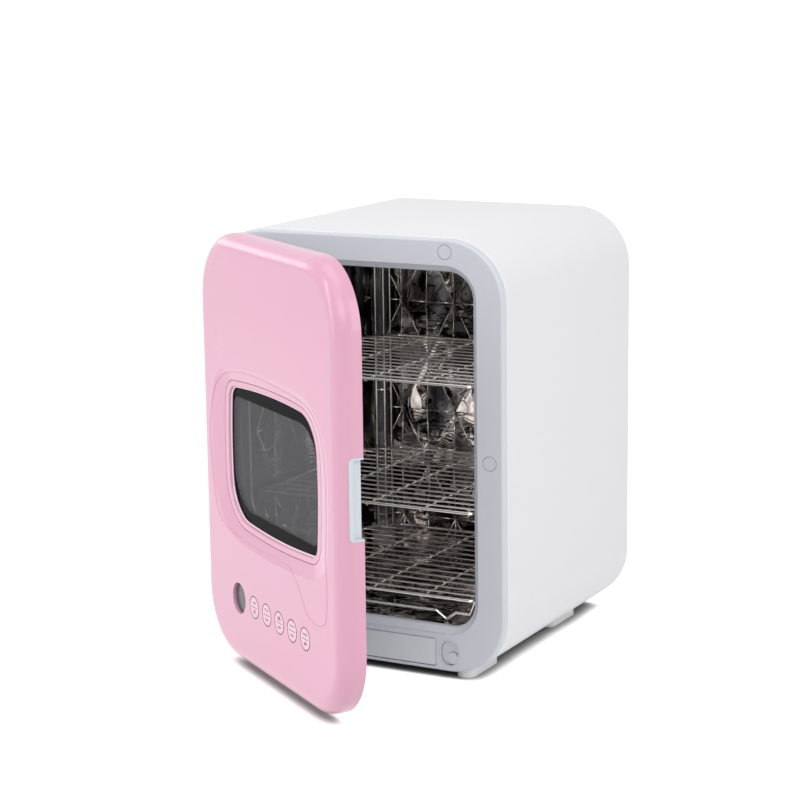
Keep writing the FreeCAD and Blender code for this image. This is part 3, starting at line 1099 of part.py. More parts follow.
# Display lens, control board with its display module, and a touch spring behind each printed mark.
keep(group("lens_group", rod("lens_solid", "display_x", ahead("door_thick - display_sunk - 0.05"), MID_Z,
                             "lens_radius", "lens_thick", "y")), "display_lens", swing)
board_sheet = box("control_sheet", "-92", ahead("14.1"), "44", "184", "1.6", "40")
module = box("display_module", "display_x - 11", ahead("16.1"), f"{MID_Z} - 11", "22", "2.05", "22")
chips = box("control_chips", "-20", ahead("12.5"), "54", "60", "2.5", "20")
keep(join("control_solid", board_sheet, module, chips), "control_board", swing)
touch = []
for k in range(int(number("mark_count"))):
    x = f"mark_first + {k} * mark_pitch"
    y = ahead("door_thick - door_wall - 0.1")
    touch.append(cut(f"touch_{k}",
                     rod(f"touch_outside_{k}", x, y, MID_Z, "5", "door_thick - door_wall - 14.2", "y"),
                     rod(f"touch_hole_{k}", x, y, MID_Z, "4.3", "9", "y")))
keep(group("touch_group", *touch), "touch_springs", swing)
screw_set = []
for k, (x, z) in enumerate(post_places):
    screw_set.append(join(f"panel_screw_{k}",
                          rod(f"panel_shank_{k}", x, ahead("11"), z, "1.25", "10", "y"),
                          rod(f"panel_head_{k}", x, ahead("1.35"), z, "3", "1.3", "y")))
keep(group("panel_screws_group", *screw_set), "panel_screws", swing)
door_magnets = [rod(f"door_magnet_{k}", x, ahead("lining_thick + 2.25"), z, "4.5", "2.2", "y")
                for k, (x, z) in enumerate((("cap_top_x", "cap_top_z"), ("cap_side_x", "cap_side_z")))]
keep(group("door_magnets_group", *door_magnets), "door_magnets", swing)

# Hinge blocks inside the door hold the pins on both sides of each lug.
blocks, pins = [], []
for label, z in (("lower", "hinge_low"), ("upper", "hinge_high")):
    solid = box("block_" + label, f"{PIVOT_X} - 4", f"{PIVOT_Y} - 4", f"{z} - block_half", "16", "13.4",
                "2 * block_half")
    hole = rod("block_hole_" + label, PIVOT_X, PIVOT_Y, f"{z} - pin_half - 0.1", "pin_radius + 0.02",
               "2 * pin_half + 0.2")
    gap = box("block_gap_" + label, f"{PIVOT_X} - 5", f"{PIVOT_Y} - 5", f"{z} - notch_half - 0.4",
              "18", "16", "2 * notch_half + 0.8")
    blocks.append(cut("hinge_block_" + label, solid, hole, gap))
    pins.append(rod("hinge_pin_" + label, PIVOT_X, PIVOT_Y, f"{z} - pin_half", "pin_radius", "2 * pin_half"))
keep(group("blocks_group", *blocks), "hinge_blocks", swing)
keep(group("pins_group", *pins), "hinge_pins", swing)

doc.recompute()
for piece in pieces:
    assert "Invalid" not in piece.State and "Error" not in piece.State, piece.Label
    assert not piece.Shape.isNull() and piece.Shape.isValid(), piece.Label

os.makedirs("parts", exist_ok=True)
for piece in pieces:
    piece.Shape.exportStep(f"parts/{piece.Label}.step")
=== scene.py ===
import json
import math

import bmesh
import bpy
from mathutils import Matrix, Vector
from mathutils.bvhtree import BVHTree


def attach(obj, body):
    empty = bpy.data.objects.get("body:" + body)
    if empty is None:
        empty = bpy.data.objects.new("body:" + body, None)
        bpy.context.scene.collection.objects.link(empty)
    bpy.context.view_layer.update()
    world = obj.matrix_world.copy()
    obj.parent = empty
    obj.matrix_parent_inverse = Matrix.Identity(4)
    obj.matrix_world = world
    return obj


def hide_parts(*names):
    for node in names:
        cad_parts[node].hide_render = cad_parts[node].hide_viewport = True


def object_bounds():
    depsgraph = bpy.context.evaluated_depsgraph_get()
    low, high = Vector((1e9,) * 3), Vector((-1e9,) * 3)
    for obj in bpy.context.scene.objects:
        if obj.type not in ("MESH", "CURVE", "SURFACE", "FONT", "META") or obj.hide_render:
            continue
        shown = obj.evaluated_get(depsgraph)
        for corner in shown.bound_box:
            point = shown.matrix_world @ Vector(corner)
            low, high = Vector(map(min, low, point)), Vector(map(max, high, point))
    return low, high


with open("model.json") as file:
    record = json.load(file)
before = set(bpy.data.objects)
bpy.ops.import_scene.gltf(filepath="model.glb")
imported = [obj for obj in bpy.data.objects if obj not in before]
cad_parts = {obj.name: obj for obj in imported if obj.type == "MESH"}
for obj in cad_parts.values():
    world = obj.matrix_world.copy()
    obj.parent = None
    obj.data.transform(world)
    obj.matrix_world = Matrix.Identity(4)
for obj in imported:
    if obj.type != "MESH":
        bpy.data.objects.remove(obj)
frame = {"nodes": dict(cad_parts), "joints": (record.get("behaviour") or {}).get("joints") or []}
nodes = frame["nodes"]
solid_box = [list(corner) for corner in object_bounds()]
bpy.context.scene.view_settings.view_transform = "Standard"


# The camera stands to the right of the open door and a little above it, with a long lens.
# Its place and turn come from the outlines of the case, the frame and the door.
def add_object(name, data):
    """An object at the origin around a mesh, a lamp or a camera, in the scene."""
    made = bpy.data.objects.new(name, data)
    bpy.context.scene.collection.objects.link(made)
    return made


CAMERA_PLACE = Vector((1.01038, -1.93825, 0.65092))
YAW = math.radians(28.254)
PITCH = math.radians(11.135)
ROLL = math.radians(-0.741)
camera = add_object("camera", bpy.data.cameras.new("camera"))
bpy.context.scene.camera = camera
camera.data.sensor_width = 36
camera.data.lens = 102.93
camera.data.clip_start = 0.05
forward = Vector((-math.sin(YAW) * math.cos(PITCH), math.cos(YAW) * math.cos(PITCH), -math.sin(PITCH)))
level = Vector((math.cos(YAW), math.sin(YAW), 0))
upright = level.cross(forward)
right = math.cos(ROLL) * level + math.sin(ROLL) * upright
up = -math.sin(ROLL) * level + math.cos(ROLL) * upright
camera_turn = Matrix((right, up, -forward)).transposed().to_4x4()
camera.matrix_world = Matrix.Translation(CAMERA_PLACE) @ camera_turn


# A white studio: wide soft lamps above, in front, on the left and on the right, and a pale world.
# Two more panels on the left draw the soft streaks along the door's rounded top and free edge.
# The world is brighter for the camera and for mirror rays than it is for the surfaces it lights.
def area_lamp(name, place, aim, size, power):
    lamp = bpy.data.lights.new(name, "AREA")
    lamp.shape = "RECTANGLE"
    lamp.size, lamp.size_y = size
    lamp.energy = power
    made = add_object(name, lamp)
    made.location = place
    made.rotation_euler = (Vector(aim) - Vector(place)).to_track_quat("-Z", "Y").to_euler()


area_lamp("top_lamp", (-0.2, -0.3, 2.2), aim=(0, 0, 0.2), size=(1.6, 1.2), power=9.5)
area_lamp("front_lamp", (0.6, -1.7, 1.35), aim=(0, 0, 0.25), size=(1.1, 0.9), power=9)
area_lamp("left_lamp", (-1.9, -1.6, 1.1), aim=(0, 0, 0.2), size=(1.2, 1.6), power=2.2)
area_lamp("right_lamp", (2.2, -0.35, 1.2), aim=(0, 0, 0.2), size=(1.2, 1.8), power=16.5)
area_lamp("edge_lamp", (-1.05, -1.15, 0.78), aim=(0, -0.25, 0.3), size=(0.22, 1.5), power=6)
area_lamp("rim_lamp", (-1.85, 0.4, 0.86), aim=(-0.1, -0.2, 0.35), size=(0.9, 0.4), power=2.6)

WORLD_LIGHT = 0.5
WORLD_SEEN = 1.0
MIRROR_RAYS = ("Is Glossy Ray", "Is Transmission Ray")
world = bpy.data.worlds.new("studio")
bpy.context.scene.world = world
world.use_nodes = True
studio = world.node_tree
rays = studio.nodes.new("ShaderNodeLightPath")
seen = rays.outputs["Is Camera Ray"]
for kind in MIRROR_RAYS:
    either = studio.nodes.new("ShaderNodeMath")
    either.operation = "MAXIMUM"
    studio.links.new(seen, either.inputs[0])
    studio.links.new(rays.outputs[kind], either.inputs[1])
    seen = either.outputs[0]
strength = studio.nodes.new("ShaderNodeMapRange")
strength.inputs["To Min"].default_value = WORLD_LIGHT
strength.inputs["To Max"].default_value = WORLD_SEEN
studio.links.new(seen, strength.inputs["Value"])
studio.links.new(strength.outputs[0], studio.nodes["Background"].inputs["Strength"])
studio.nodes["Background"].inputs["Color"].default_value = (1, 1, 1, 1)


# The floor is white paper that runs far out behind the cabinet, so that no horizon shows.
# It glows to plain white wherever the sky over it is open. Close to the feet its colour is darkened, a
# painted shadow added to the real one.
class Reading:
    """One value that varies over a surface. Sums, differences and products of it add Math nodes."""

    def __init__(self, finish, socket):
        self.finish = finish
        self.socket = socket

    def maths(self, operation, *others):
        return self.finish.node("ShaderNodeMath", {"operation": operation}, dict(enumerate((self, *others))))

    def __add__(self, other):
        return self.maths("ADD", other)

    def __mul__(self, other):
        return self.maths("MULTIPLY", other)

    def __sub__(self, other):
        return self.maths("SUBTRACT", other)

    def __rsub__(self, other):
        return self * -1.0 + other

    __radd__ = __add__
    __rmul__ = __mul__

    def most(self, other):
        return self.maths("MAXIMUM", other)

    def ramp(self, low, high):
        """The value carried from low..high onto 0..1, and held there beyond."""
        sockets = {"Value": self, "From Min": low, "From Max": high}
        return self.finish.node("ShaderNodeMapRange", {"clamp": True}, sockets)


class Finish:
    """A material made of a Principled surface and whatever varies over it."""

    def __init__(self, name, **surface):
        self.material = bpy.data.materials.new(name)
        self.material.use_nodes = True
        self.tree = self.material.node_tree
        self.surface = self.tree.nodes["Principled BSDF"]
        for socket, value in surface.items():
            self.set(socket.replace("_", " "), value)

    def node(self, kind, settings=None, sockets=None, out=0):
        made = self.tree.nodes.new(kind)
        for key, value in (settings or {}).items():
            setattr(made, key, value)
        for key, value in (sockets or {}).items():
            self.join(value, made.inputs[key])
        return Reading(self, made.outputs[out])

    def join(self, value, socket):
        if isinstance(value, Reading):
            self.tree.links.new(value.socket, socket)
        elif isinstance(value, tuple) and len(value) == 3 and socket.type == "RGBA":
            socket.default_value = (*value, 1)
        else:
            socket.default_value = value

    def set(self, socket, value):
        self.join(value, self.surface.inputs[socket])

    def place(self):
        return self.node("ShaderNodeTexCoord", out="Object")

    def noise(self, scale, detail=3.0, stretch=(1, 1, 1)):
        at = self.node("ShaderNodeMapping", sockets={"Vector": self.place(), "Scale": stretch})
        return self.node("ShaderNodeTexNoise", sockets={"Vector": at, "Scale": scale, "Detail": detail})

    def open_sky(self, reach, samples):
        """How open a point is to its surroundings, within a reach in metres."""
        return self.node("ShaderNodeAmbientOcclusion", {"samples": samples}, {"Distance": reach}, out="AO")

    def blend(self, factor, first, second):
        made = self.node("ShaderNodeMix", {"data_type": "RGBA"}).socket.node
        self.join(factor, made.inputs["Factor"])
        self.join(first, made.inputs["A"])
        self.join(second, made.inputs["B"])
        return Reading(self, made.outputs["Result"])

    def gloss(self, smoothest, more, scale, detail=3.0, stretch=(1, 1, 1)):
        """Let the roughness wander up from its smoothest value."""
        self.set("Roughness", smoothest + more * self.noise(scale, detail, stretch))

    def grain(self, scale, depth, strength, detail=3.0):
        """Raise the surface by a noise, given in parts of a depth in metres."""
        sockets = {"Height": self.noise(scale, detail), "Distance": depth, "Strength": strength}
        self.set("Normal", self.node("ShaderNodeBump", sockets=sockets))

    def wear(self, *names):
        """Give the finish to CAD nodes."""
        for name in names:
            mesh = nodes[name].data
            mesh.materials.clear()
            mesh.materials.append(self.material)


FLOOR_Z = solid_box[0][2]
PAPER_LEFT, PAPER_RIGHT = -20, 12
PAPER_NEAR, PAPER_FAR = -5, 40
PAPER_WHITE = (0.84, 0.84, 0.84)
PAPER_PAINTED_SHADOW = (0.12, 0.12, 0.12)
PAPER_GLOW = (0.75, 0.75, 0.75)
paper_corners = [(PAPER_LEFT, PAPER_NEAR, FLOOR_Z), (PAPER_RIGHT, PAPER_NEAR, FLOOR_Z),
                 (PAPER_RIGHT, PAPER_FAR, FLOOR_Z), (PAPER_LEFT, PAPER_FAR, FLOOR_Z)]
floor_mesh = bpy.data.meshes.new("floor")
floor_mesh.from_pydata(paper_corners, [], [(0, 1, 2, 3)])
floor = add_object("floor", floor_mesh)
paper = Finish("floor_white", Roughness=0.9, Specular_IOR_Level=0.0, Emission_Strength=1.0)
openness = paper.open_sky(reach=0.019, samples=16)
# The paper's colour darkens close to the cabinet: a painted contact shadow.
paper.set("Base Color", paper.blend(openness.ramp(0.1, 0.6), PAPER_PAINTED_SHADOW, PAPER_WHITE))
seen = paper.node("ShaderNodeLightPath", out="Is Camera Ray")
for kind in MIRROR_RAYS:
    seen = seen.most(paper.node("ShaderNodeLightPath", out=kind))
paper.set("Emission Color", paper.blend(seen * openness.ramp(0.3, 0.65), (0, 0, 0), PAPER_GLOW))
floor_mesh.materials.append(paper.material)


# The case is a bent sleeve in satin white, with the faint orange-peel of a sprayed or moulded skin.
# It sits between the front frame and the rear cover, which long rods pull together over it.
def linear(r, g, b):
    """A colour written in screen values from 0 to 255."""
    return tuple((c / 255 / 12.92) if c / 255 <= 0.04045 else ((c / 255 + 0.055) / 1.055) ** 2.4
                 for c in (r, g, b))


case_white = Finish("case_white", Base_Color=linear(232, 232, 235), Coat_Weight=0.04, Specular_IOR_Level=0.12)
case_white.gloss(0.33, 0.06, scale=40)
case_white.grain(900, depth=0.00002, strength=0.35, detail=2.0)
case_white.wear("outer_case")

# The front frame, the caps over its magnets and the oval door switch are cool grey moulded plastic.
# They meet in hairline joints. Their colour is darkened in the joints and creases, where nearby parts close
# in: painted shade.
frame_grey = Finish("frame_grey", Specular_IOR_Level=0.35)
frame_grey.gloss(0.33, 0.06, scale=60)
frame_grey.grain(1500, depth=0.00001, strength=0.3, detail=2.0)
# Painted shade: the grey darkens wherever other surfaces close in within a few millimetres.
painted_crease_shade = frame_grey.open_sky(reach=0.0025, samples=8).ramp(0.2, 0.85)
frame_grey.set("Base Color", frame_grey.blend(painted_crease_shade, linear(118, 120, 130), linear(209, 211, 219)))
frame_grey.wear("front_frame", "magnet_caps", "switch_housing", "switch_plunger")

# The rear cover, the base plate, the tray's runners and the air parts are a plainer grey plastic.
# Their skin has the dull grain of a spark-eroded mould.
base_grey = Finish("base_grey", Base_Color=linear(176, 178, 182), Roughness=0.55)
base_grey.grain(1400, depth=0.00004, strength=0.5)
base_grey.wear("base_plate", "rear_cover", "fan_housing", "fan_rotor", "air_duct", "tray_runners")

# Four feet of pale rubber are pressed under the base, close to its corners.
# Their skin is dull and slightly pebbled.
foot_rubber = Finish("foot_rubber", Base_Color=linear(246, 246, 247), Roughness=0.62)
foot_rubber.grain(2500, depth=0.00004, strength=0.6)
foot_rubber.wear("feet")

# The cavity is lined with bright stainless sheet, pressed into big diamond points.
# Rolling leaves fine upright lines in it that pull its reflections out of shape and cloud them.
bright_sheet = Finish("bright_sheet", Metallic=1.0)
bright_sheet.gloss(0.005, 0.03, scale=30, detail=4.0, stretch=(1, 1, 0.15))
clouded = bright_sheet.noise(26, 3.0, (1, 1, 0.6)).ramp(0.44, 0.56)
bright_sheet.set("Base Color", bright_sheet.blend(clouded, linear(88, 85, 84), linear(222, 216, 213)))
bright_sheet.grain(22, depth=0.004, strength=0.6, detail=2.0)
bright_sheet.wear("back_reflector", "liner_left", "liner_right", "liner_ceiling", "liner_floor")

# The sheet's folds are not knife-sharp. Each runs as a fine polished round that catches the light.
# The rounds are thin rods laid along every fold between two facets that face the cavity.
FOLD_RADIUS = 0.0007
FOLD_SIDES = 8
LEAST_FACING = 0.9
LEAST_FOLD = 0.03
polished_fold = Finish("polished_fold", Base_Color=linear(240, 238, 236), Metallic=1.0)
polished_fold.gloss(0.05, 0.15, scale=90)


def closed_mesh(name, work):
    """A mesh from a worked one, with its faces turned outwards."""
    bmesh.ops.recalc_face_normals(work, faces=work.faces)
    mesh = bpy.data.meshes.new(name)
    work.to_mesh(mesh)
    work.free()
    return mesh


def add_rod(work, start, end, inward):
    """A closed rod between two points, with a flat face at each end."""
    side = (end - start).normalized().cross(inward).normalized()
    rings = []
    for place in (start, end):
        angles = [2 * math.pi * k / FOLD_SIDES for k in range(FOLD_SIDES)]
        rings.append([work.verts.new(place + FOLD_RADIUS * (side * math.cos(a) + inward * math.sin(a)))
                      for a in angles])
    first, last = rings
    work.faces.new(first[::-1])
    work.faces.new(last)
    for k in range(FOLD_SIDES):
        ahead = (k + 1) % FOLD_SIDES
        work.faces.new((first[k], first[ahead], last[ahead], last[k]))


def fold_rounds(name, node, inward):
    """Rods along the folds of one pressed sheet, on the side that faces the cavity."""
    sheet = bmesh.new()
    sheet.from_mesh(nodes[node].data)
    bmesh.ops.remove_doubles(sheet, verts=sheet.verts, dist=1e-6)
    work = bmesh.new()
    for edge in sheet.edges:
        if len(edge.link_faces) != 2:
            continue
        one, other = (face.normal for face in edge.link_faces)
        faces_in = min(one.dot(inward), other.dot(inward)) >= LEAST_FACING
        if faces_in and one.angle(other) >= LEAST_FOLD:
            add_rod(work, edge.verts[0].co, edge.verts[1].co, inward)
    sheet.free()
    mesh = closed_mesh(name, work)
    for polygon in mesh.polygons:
        polygon.use_smooth = len(polygon.vertices) == 4
    mesh.materials.append(polished_fold.material)
    rods = add_object(name, mesh)
    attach(rods, "cabinet")


fold_rounds("back_folds", "back_reflector", Vector((0, -1, 0)))
fold_rounds("left_folds", "liner_left", Vector((1, 0, 0)))
fold_rounds("right_folds", "liner_right", Vector((-1, 0, 0)))

# The racks are welded from bright polished wire and slide on rails at the cavity's sides.
# The guards round the lamps are the same wire, thinner.
rack_wire = Finish("rack_wire", Base_Color=linear(244, 238, 232), Metallic=1.0)
rack_wire.gloss(0.14, 0.1, scale=120)
rack_wire.wear("rack_upper", "rack_middle", "rack_lower", "lamp_guards")

# Rails, rods, screws, magnets, springs and hinge parts are plain zinc-coated steel.
# Drawing the metal leaves fine upright streaks in its gloss.
plain_steel = Finish("plain_steel", Base_Color=linear(178, 178, 176), Metallic=1.0)
plain_steel.gloss(0.25, 0.2, scale=300, detail=4.0, stretch=(1, 1, 0.1))
plain_steel.wear("rack_rails", "tie_rods", "cover_screws", "frame_magnets", "fan_shaft", "switch_spring",
                 "hinge_lug_lower", "hinge_lug_upper", "panel_screws", "door_magnets", "hinge_pins",
                 "touch_springs", "lamp_ballast")

# The ultraviolet lamps are tubes of clear quartz glass, which look smoky against the dark corners.
# An aluminium cap closes each end, and sits in a white socket of heat-proof plastic.
# The heater's fins are the same aluminium, and the hinge's bushes and blocks the same plastic.
lamp_glass = Finish("lamp_glass", Base_Color=linear(120, 126, 138), Alpha=0.35)
lamp_glass.gloss(0.08, 0.1, scale=80)
lamp_glass.wear("lamp_tubes")
cap_aluminium = Finish("cap_aluminium", Base_Color=linear(205, 206, 208), Metallic=1.0)
cap_aluminium.gloss(0.22, 0.15, scale=200)
cap_aluminium.wear("lamp_end_caps", "ptc_heater")
socket_white = Finish("socket_white", Base_Color=linear(222, 222, 220), Roughness=0.5)
socket_white.grain(1200, depth=0.00003, strength=0.5)
socket_white.wear("lamp_sockets", "hinge_bushes", "hinge_blocks")

# Behind the rear wall and in the door are green circuit boards and small parts in black plastic.
# The fan turns in a sintered bronze bearing, and draws its air through a pad of open foam.
board_green = Finish("board_green", Base_Color=linear(28, 92, 52))
board_green.gloss(0.3, 0.2, scale=400)
board_green.wear("power_board", "control_board")
dark_plastic = Finish("dark_plastic", Base_Color=linear(36, 36, 38), Roughness=0.45)
dark_plastic.grain(1200, depth=0.00003, strength=0.5)
dark_plastic.wear("mains_inlet", "fan_motor", "thermal_cutout", "door_switch", "window_retainer")
bearing_bronze = Finish("bearing_bronze", Base_Color=linear(176, 132, 84), Metallic=1.0)
bearing_bronze.gloss(0.3, 0.2, scale=900)
bearing_bronze.wear("fan_bearing")
filter_foam = Finish("filter_foam", Base_Color=linear(58, 60, 64), Roughness=0.95)
filter_foam.grain(700, depth=0.0006, strength=1.0, detail=4.0)
filter_foam.wear("air_filter")

# The drip tray slides out under the throat, behind a flat front that fills its slot.
# Both are the frame's grey plastic with a slightly duller skin, painted a little paler than the frame:
# painted light against the shade of their slot.
# The paler grey is painted light that lifts the tray front out of its recess's shade.
tray_painted_light = Finish("tray_painted_light", Base_Color=linear(216, 218, 224), Roughness=0.4)
tray_painted_light.grain(900, depth=0.00003, strength=0.4)
tray_painted_light.wear("drip_tray", "tray_front")

# The door's shell is gloss pink with a soft moulded skin, dished round its window.
# It hangs on two upright pins at its left, and stands open by the angle that the hinge gives.
hinge = next(joint for joint in frame["joints"] if joint["name"] == "door_hinge")
OPEN = math.radians(-hinge["range_deg"][0])
PIVOT = Vector(hinge["pos_m"])
DOOR_BACK = -0.149
swing = Matrix.Translation(PIVOT) @ Matrix.Rotation(-OPEN, 4, "Z") @ Matrix.Translation(-PIVOT)
swing_back = swing.inverted()
outwards = (swing.to_3x3() @ Vector((0, -1, 0))).normalized()
door_pink = Finish("door_pink", Base_Color=linear(222, 166, 189), Coat_Weight=0.3, Specular_IOR_Level=0.3)
door_pink.gloss(0.26, 0.05, scale=35)
door_pink.grain(900, depth=0.00002, strength=0.3, detail=2.0)
door_pink.wear("door_shell")

# A fine moulded bead loops round the window and runs down to a rounded drop at the lower right.
# It is part of the shell's skin, so it follows the dish. Its pink is a little deeper than the shell's:
# painted shade along the fine line.
BEAD_STEPS = 10
PROBE_START = 0.1
BEAD_PATH_MM = [(-130.6, 208), (-128.5, 223), (-119.7, 251.7), (-103, 268), (-77, 276), (-39, 279.7),
                (16, 278), (62, 275), (88, 270), (103, 262.5), (114, 248), (120, 228), (122.5, 200),
                (122, 172), (120, 148.5), (123, 134), (122.5, 102), (119, 90), (110, 84.6), (97, 82.8),
                (82, 87), (72, 98.7), (57, 114.5), (42, 120.6), (19, 121.6), (-21, 120.4), (-58, 122),
                (-96, 127), (-117, 141), (-126, 169)]
BEAD_PROFILE_MM = ((-1.0, -0.15), (-0.6, 0.25), (0, 0.4), (0.6, 0.25), (1.0, -0.15), (0, -0.5))


def smooth_loop(points, steps):
    """Points of an even curve through a closed chain."""
    made = []
    count = len(points)
    for k in range(count):
        a, b, c, d = (points[(k + j - 1) % count] for j in range(4))
        for step in range(steps):
            t = step / steps
            made.append(0.5 * (2 * b + (c - a) * t + (2 * a - 5 * b + 4 * c - d) * t * t
                               + (3 * b - a - 3 * c + d) * t * t * t))
    return made


def turned(along):
    """A flat direction turned a quarter turn to its left."""
    return Vector((-along.y, along.x))


def closed_tube(name, rings):
    """A mesh whose rings of points follow each other round a loop."""
    work = bmesh.new()
    corners = [[work.verts.new(point) for point in ring] for ring in rings]
    for k, ring in enumerate(corners):
        following = corners[(k + 1) % len(corners)]
        for j in range(len(ring)):
            ahead = (j + 1) % len(ring)
            work.faces.new((ring[j], ring[ahead], following[ahead], following[j]))
    mesh = closed_mesh(name, work)
    for polygon in mesh.polygons:
        polygon.use_smooth = True
    return add_object(name, mesh)


shell_mesh = nodes["door_shell"].data
shell_skin = BVHTree.FromPolygons([vertex.co for vertex in shell_mesh.vertices],
                                  [tuple(polygon.vertices) for polygon in shell_mesh.polygons])


def on_door(across, height, lift):
    """A point above the door's front skin, in metres."""
    start = swing @ Vector((across, DOOR_BACK - PROBE_START, height))
    hit = shell_skin.ray_cast(start, -outwards)[0]
    return hit + outwards * lift


bead_line = smooth_loop([Vector((x / 1000, z / 1000)) for x, z in BEAD_PATH_MM], BEAD_STEPS)
bead_rings = []
for k, here in enumerate(bead_line):
    side = turned((bead_line[(k + 1) % len(bead_line)] - bead_line[k - 1]).normalized())
    bead_rings.append([on_door(here.x + side.x * aside / 1000, here.y + side.y * aside / 1000, rise / 1000)
                       for aside, rise in BEAD_PROFILE_MM])
bead = closed_tube("door_bead", bead_rings)
# The deeper pink is painted shade along the bead.
bead_painted_shade = Finish("bead_painted_shade", Base_Color=linear(216, 158, 181))
bead_painted_shade.gloss(0.26, 0.08, scale=60)
bead.data.materials.append(bead_painted_shade.material)
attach(bead, "door")

# A soft bead seals the black window panel against the shell, right round its mouth; its pale colour is a
# painted highlight along the lip's edge.
# It lies on the glass, so it follows the glass's own outline a little way in from the edge.
GLASS_FRONT = 0.01495
WINDOW_X = 0.002
WINDOW_Z = 0.200
TRIM_INSET = 0.0022
TRIM_HALF_WIDTH = 0.0008
TRIM_HALF_HEIGHT = 0.0007
TRIM_RISE = 0.0004
TRIM_SIDES = 10
LEAST_STEP = 0.001
on_glass = [swing_back @ vertex.co for vertex in nodes["window_glass"].data.vertices]
glass_rim = {(round(p.x - WINDOW_X, 5), round(p.z - WINDOW_Z, 5)) for p in on_glass
             if abs(DOOR_BACK - p.y - GLASS_FRONT) < 2e-5}
rim = []
for x, z in sorted(glass_rim, key=lambda p: math.atan2(p[1], p[0])):
    if not rim or (Vector((x, z)) - rim[-1]).length > LEAST_STEP:
        rim.append(Vector((x, z)))
trim_rings = []
for k, here in enumerate(rim):
    inwards = turned((rim[(k + 1) % len(rim)] - rim[k - 1]).normalized())
    ring = []
    for j in range(TRIM_SIDES):
        angle = 2 * math.pi * j / TRIM_SIDES
        flat = here + inwards * (TRIM_INSET + TRIM_HALF_WIDTH * math.cos(angle))
        depth = GLASS_FRONT + TRIM_RISE + TRIM_HALF_HEIGHT * math.sin(angle)
        ring.append(swing @ Vector((flat.x + WINDOW_X, DOOR_BACK - depth, flat.y + WINDOW_Z)))
    trim_rings.append(ring)
trim = closed_tube("window_trim", trim_rings)
# The pale colour is a painted highlight of the window's lip.
trim_painted_highlight = Finish("trim_painted_highlight", Base_Color=linear(250, 226, 236))
trim_painted_highlight.gloss(0.34, 0.1, scale=200)
trim.data.materials.append(trim_painted_highlight.material)
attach(trim, "door")

# Five touch keys are printed on the skin in thin dark ink: a ring, a line across it and two plain signs.
# Under each ring lies a paler printed field. Every line is a thin closed strip that follows the skin.
KEY_Z = 0.064
FIRST_KEY_X = -0.0351
KEY_STEP = 0.0279
KEY_RADIUS = 0.0098
KEY_TALL = 1.04
RING_POINTS = 48
FIELD_POINTS = 32
RING_LINE = 0.001
MIDDLE_LINE = 0.0006
MIDDLE_REACH = 0.0064
SIGN_LINE = 0.0012
INK_THICK = 0.00008
SIGNS_MM = (
    [[(-3.4, 4.2), (-1.2, 4.2)], [(0.4, 5.4), (0.4, 3.0)], [(2.0, 4.2), (3.6, 4.2)],
     [(-2.6, -3.4), (2.6, -3.4)], [(-1.6, -5.2), (1.6, -5.2)]],
    [[(-3.2, 3.2), (-3.2, 5.4), (-0.8, 5.4)], [(0.8, 3.2), (3.2, 5.4)], [(-3, -3.2), (0, -5.4), (3, -3.2)]],
    [[(-3.4, 3.4), (3.4, 3.4)], [(-2.4, 5.2), (2.4, 5.2)], [(-3, -5), (-1, -3.2), (1, -5), (3, -3.2)]],
    [[(-4.2, 4.3), (-2.2, 4.3)], [(-1, 4.3), (1, 4.3)], [(2.2, 4.3), (4.2, 4.3)],
     [(-2.4, -5.2), (-2.4, -3)], [(0, -5.6), (0, -3)], [(2.4, -5.2), (2.4, -3)]],
    [[(-4.0, 4.8), (-1.4, 3.4)], [(0.2, 3.2), (0.2, 5.4)], [(1.6, 3.4), (4.0, 4.8)],
     [(-2.8, -4.2), (2.8, -4.2)], [(0, -5.8), (0, -2.8)]],
)


def strip(points, width, closed):
    """A printed line as pairs of points across it."""
    pairs = []
    count = len(points)
    for k, here in enumerate(points):
        ahead = points[(k + 1) % count] if closed or k < count - 1 else here
        behind = points[k - 1] if closed or k else here
        side = turned((ahead - behind).normalized()) * width / 2
        pairs.append((here + side, here - side))
    if closed:
        pairs.append(pairs[0])
    return pairs


def key_round(x, count):
    """Points of a key's outline, which is a little taller than it is wide."""
    angles = [2 * math.pi * k / count for k in range(count)]
    return [Vector((x + KEY_RADIUS * math.cos(a), KEY_Z + KEY_RADIUS * KEY_TALL * math.sin(a)))
            for a in angles]


def add_print(work, pairs):
    """Lay one printed line on the door as a thin closed strip."""
    top, low = ([[work.verts.new(on_door(p.x, p.y, lift)) for p in pair] for pair in pairs]
                for lift in (INK_THICK, -INK_THICK))
    for k in range(len(pairs) - 1):
        a, b, c, d = top[k][0], top[k][1], top[k + 1][1], top[k + 1][0]
        e, f, g, h = low[k][0], low[k][1], low[k + 1][1], low[k + 1][0]
        for face in ((a, b, c, d), (h, g, f, e), (a, d, h, e), (c, b, f, g)):
            work.faces.new(face)
    for k in (0, -1):
        work.faces.new((top[k][0], top[k][1], low[k][1], low[k][0]))


def add_field(work, ring):
    """Lay a pale round field under a key's lines."""
    top = [work.verts.new(on_door(p.x, p.y, INK_THICK / 2)) for p in ring]
    low = [work.verts.new(on_door(p.x, p.y, -INK_THICK)) for p in ring]
    work.faces.new(top)
    work.faces.new(low[::-1])
    for k in range(len(ring)):
        ahead = (k + 1) % len(ring)
        work.faces.new((top[k], low[k], low[ahead], top[ahead]))


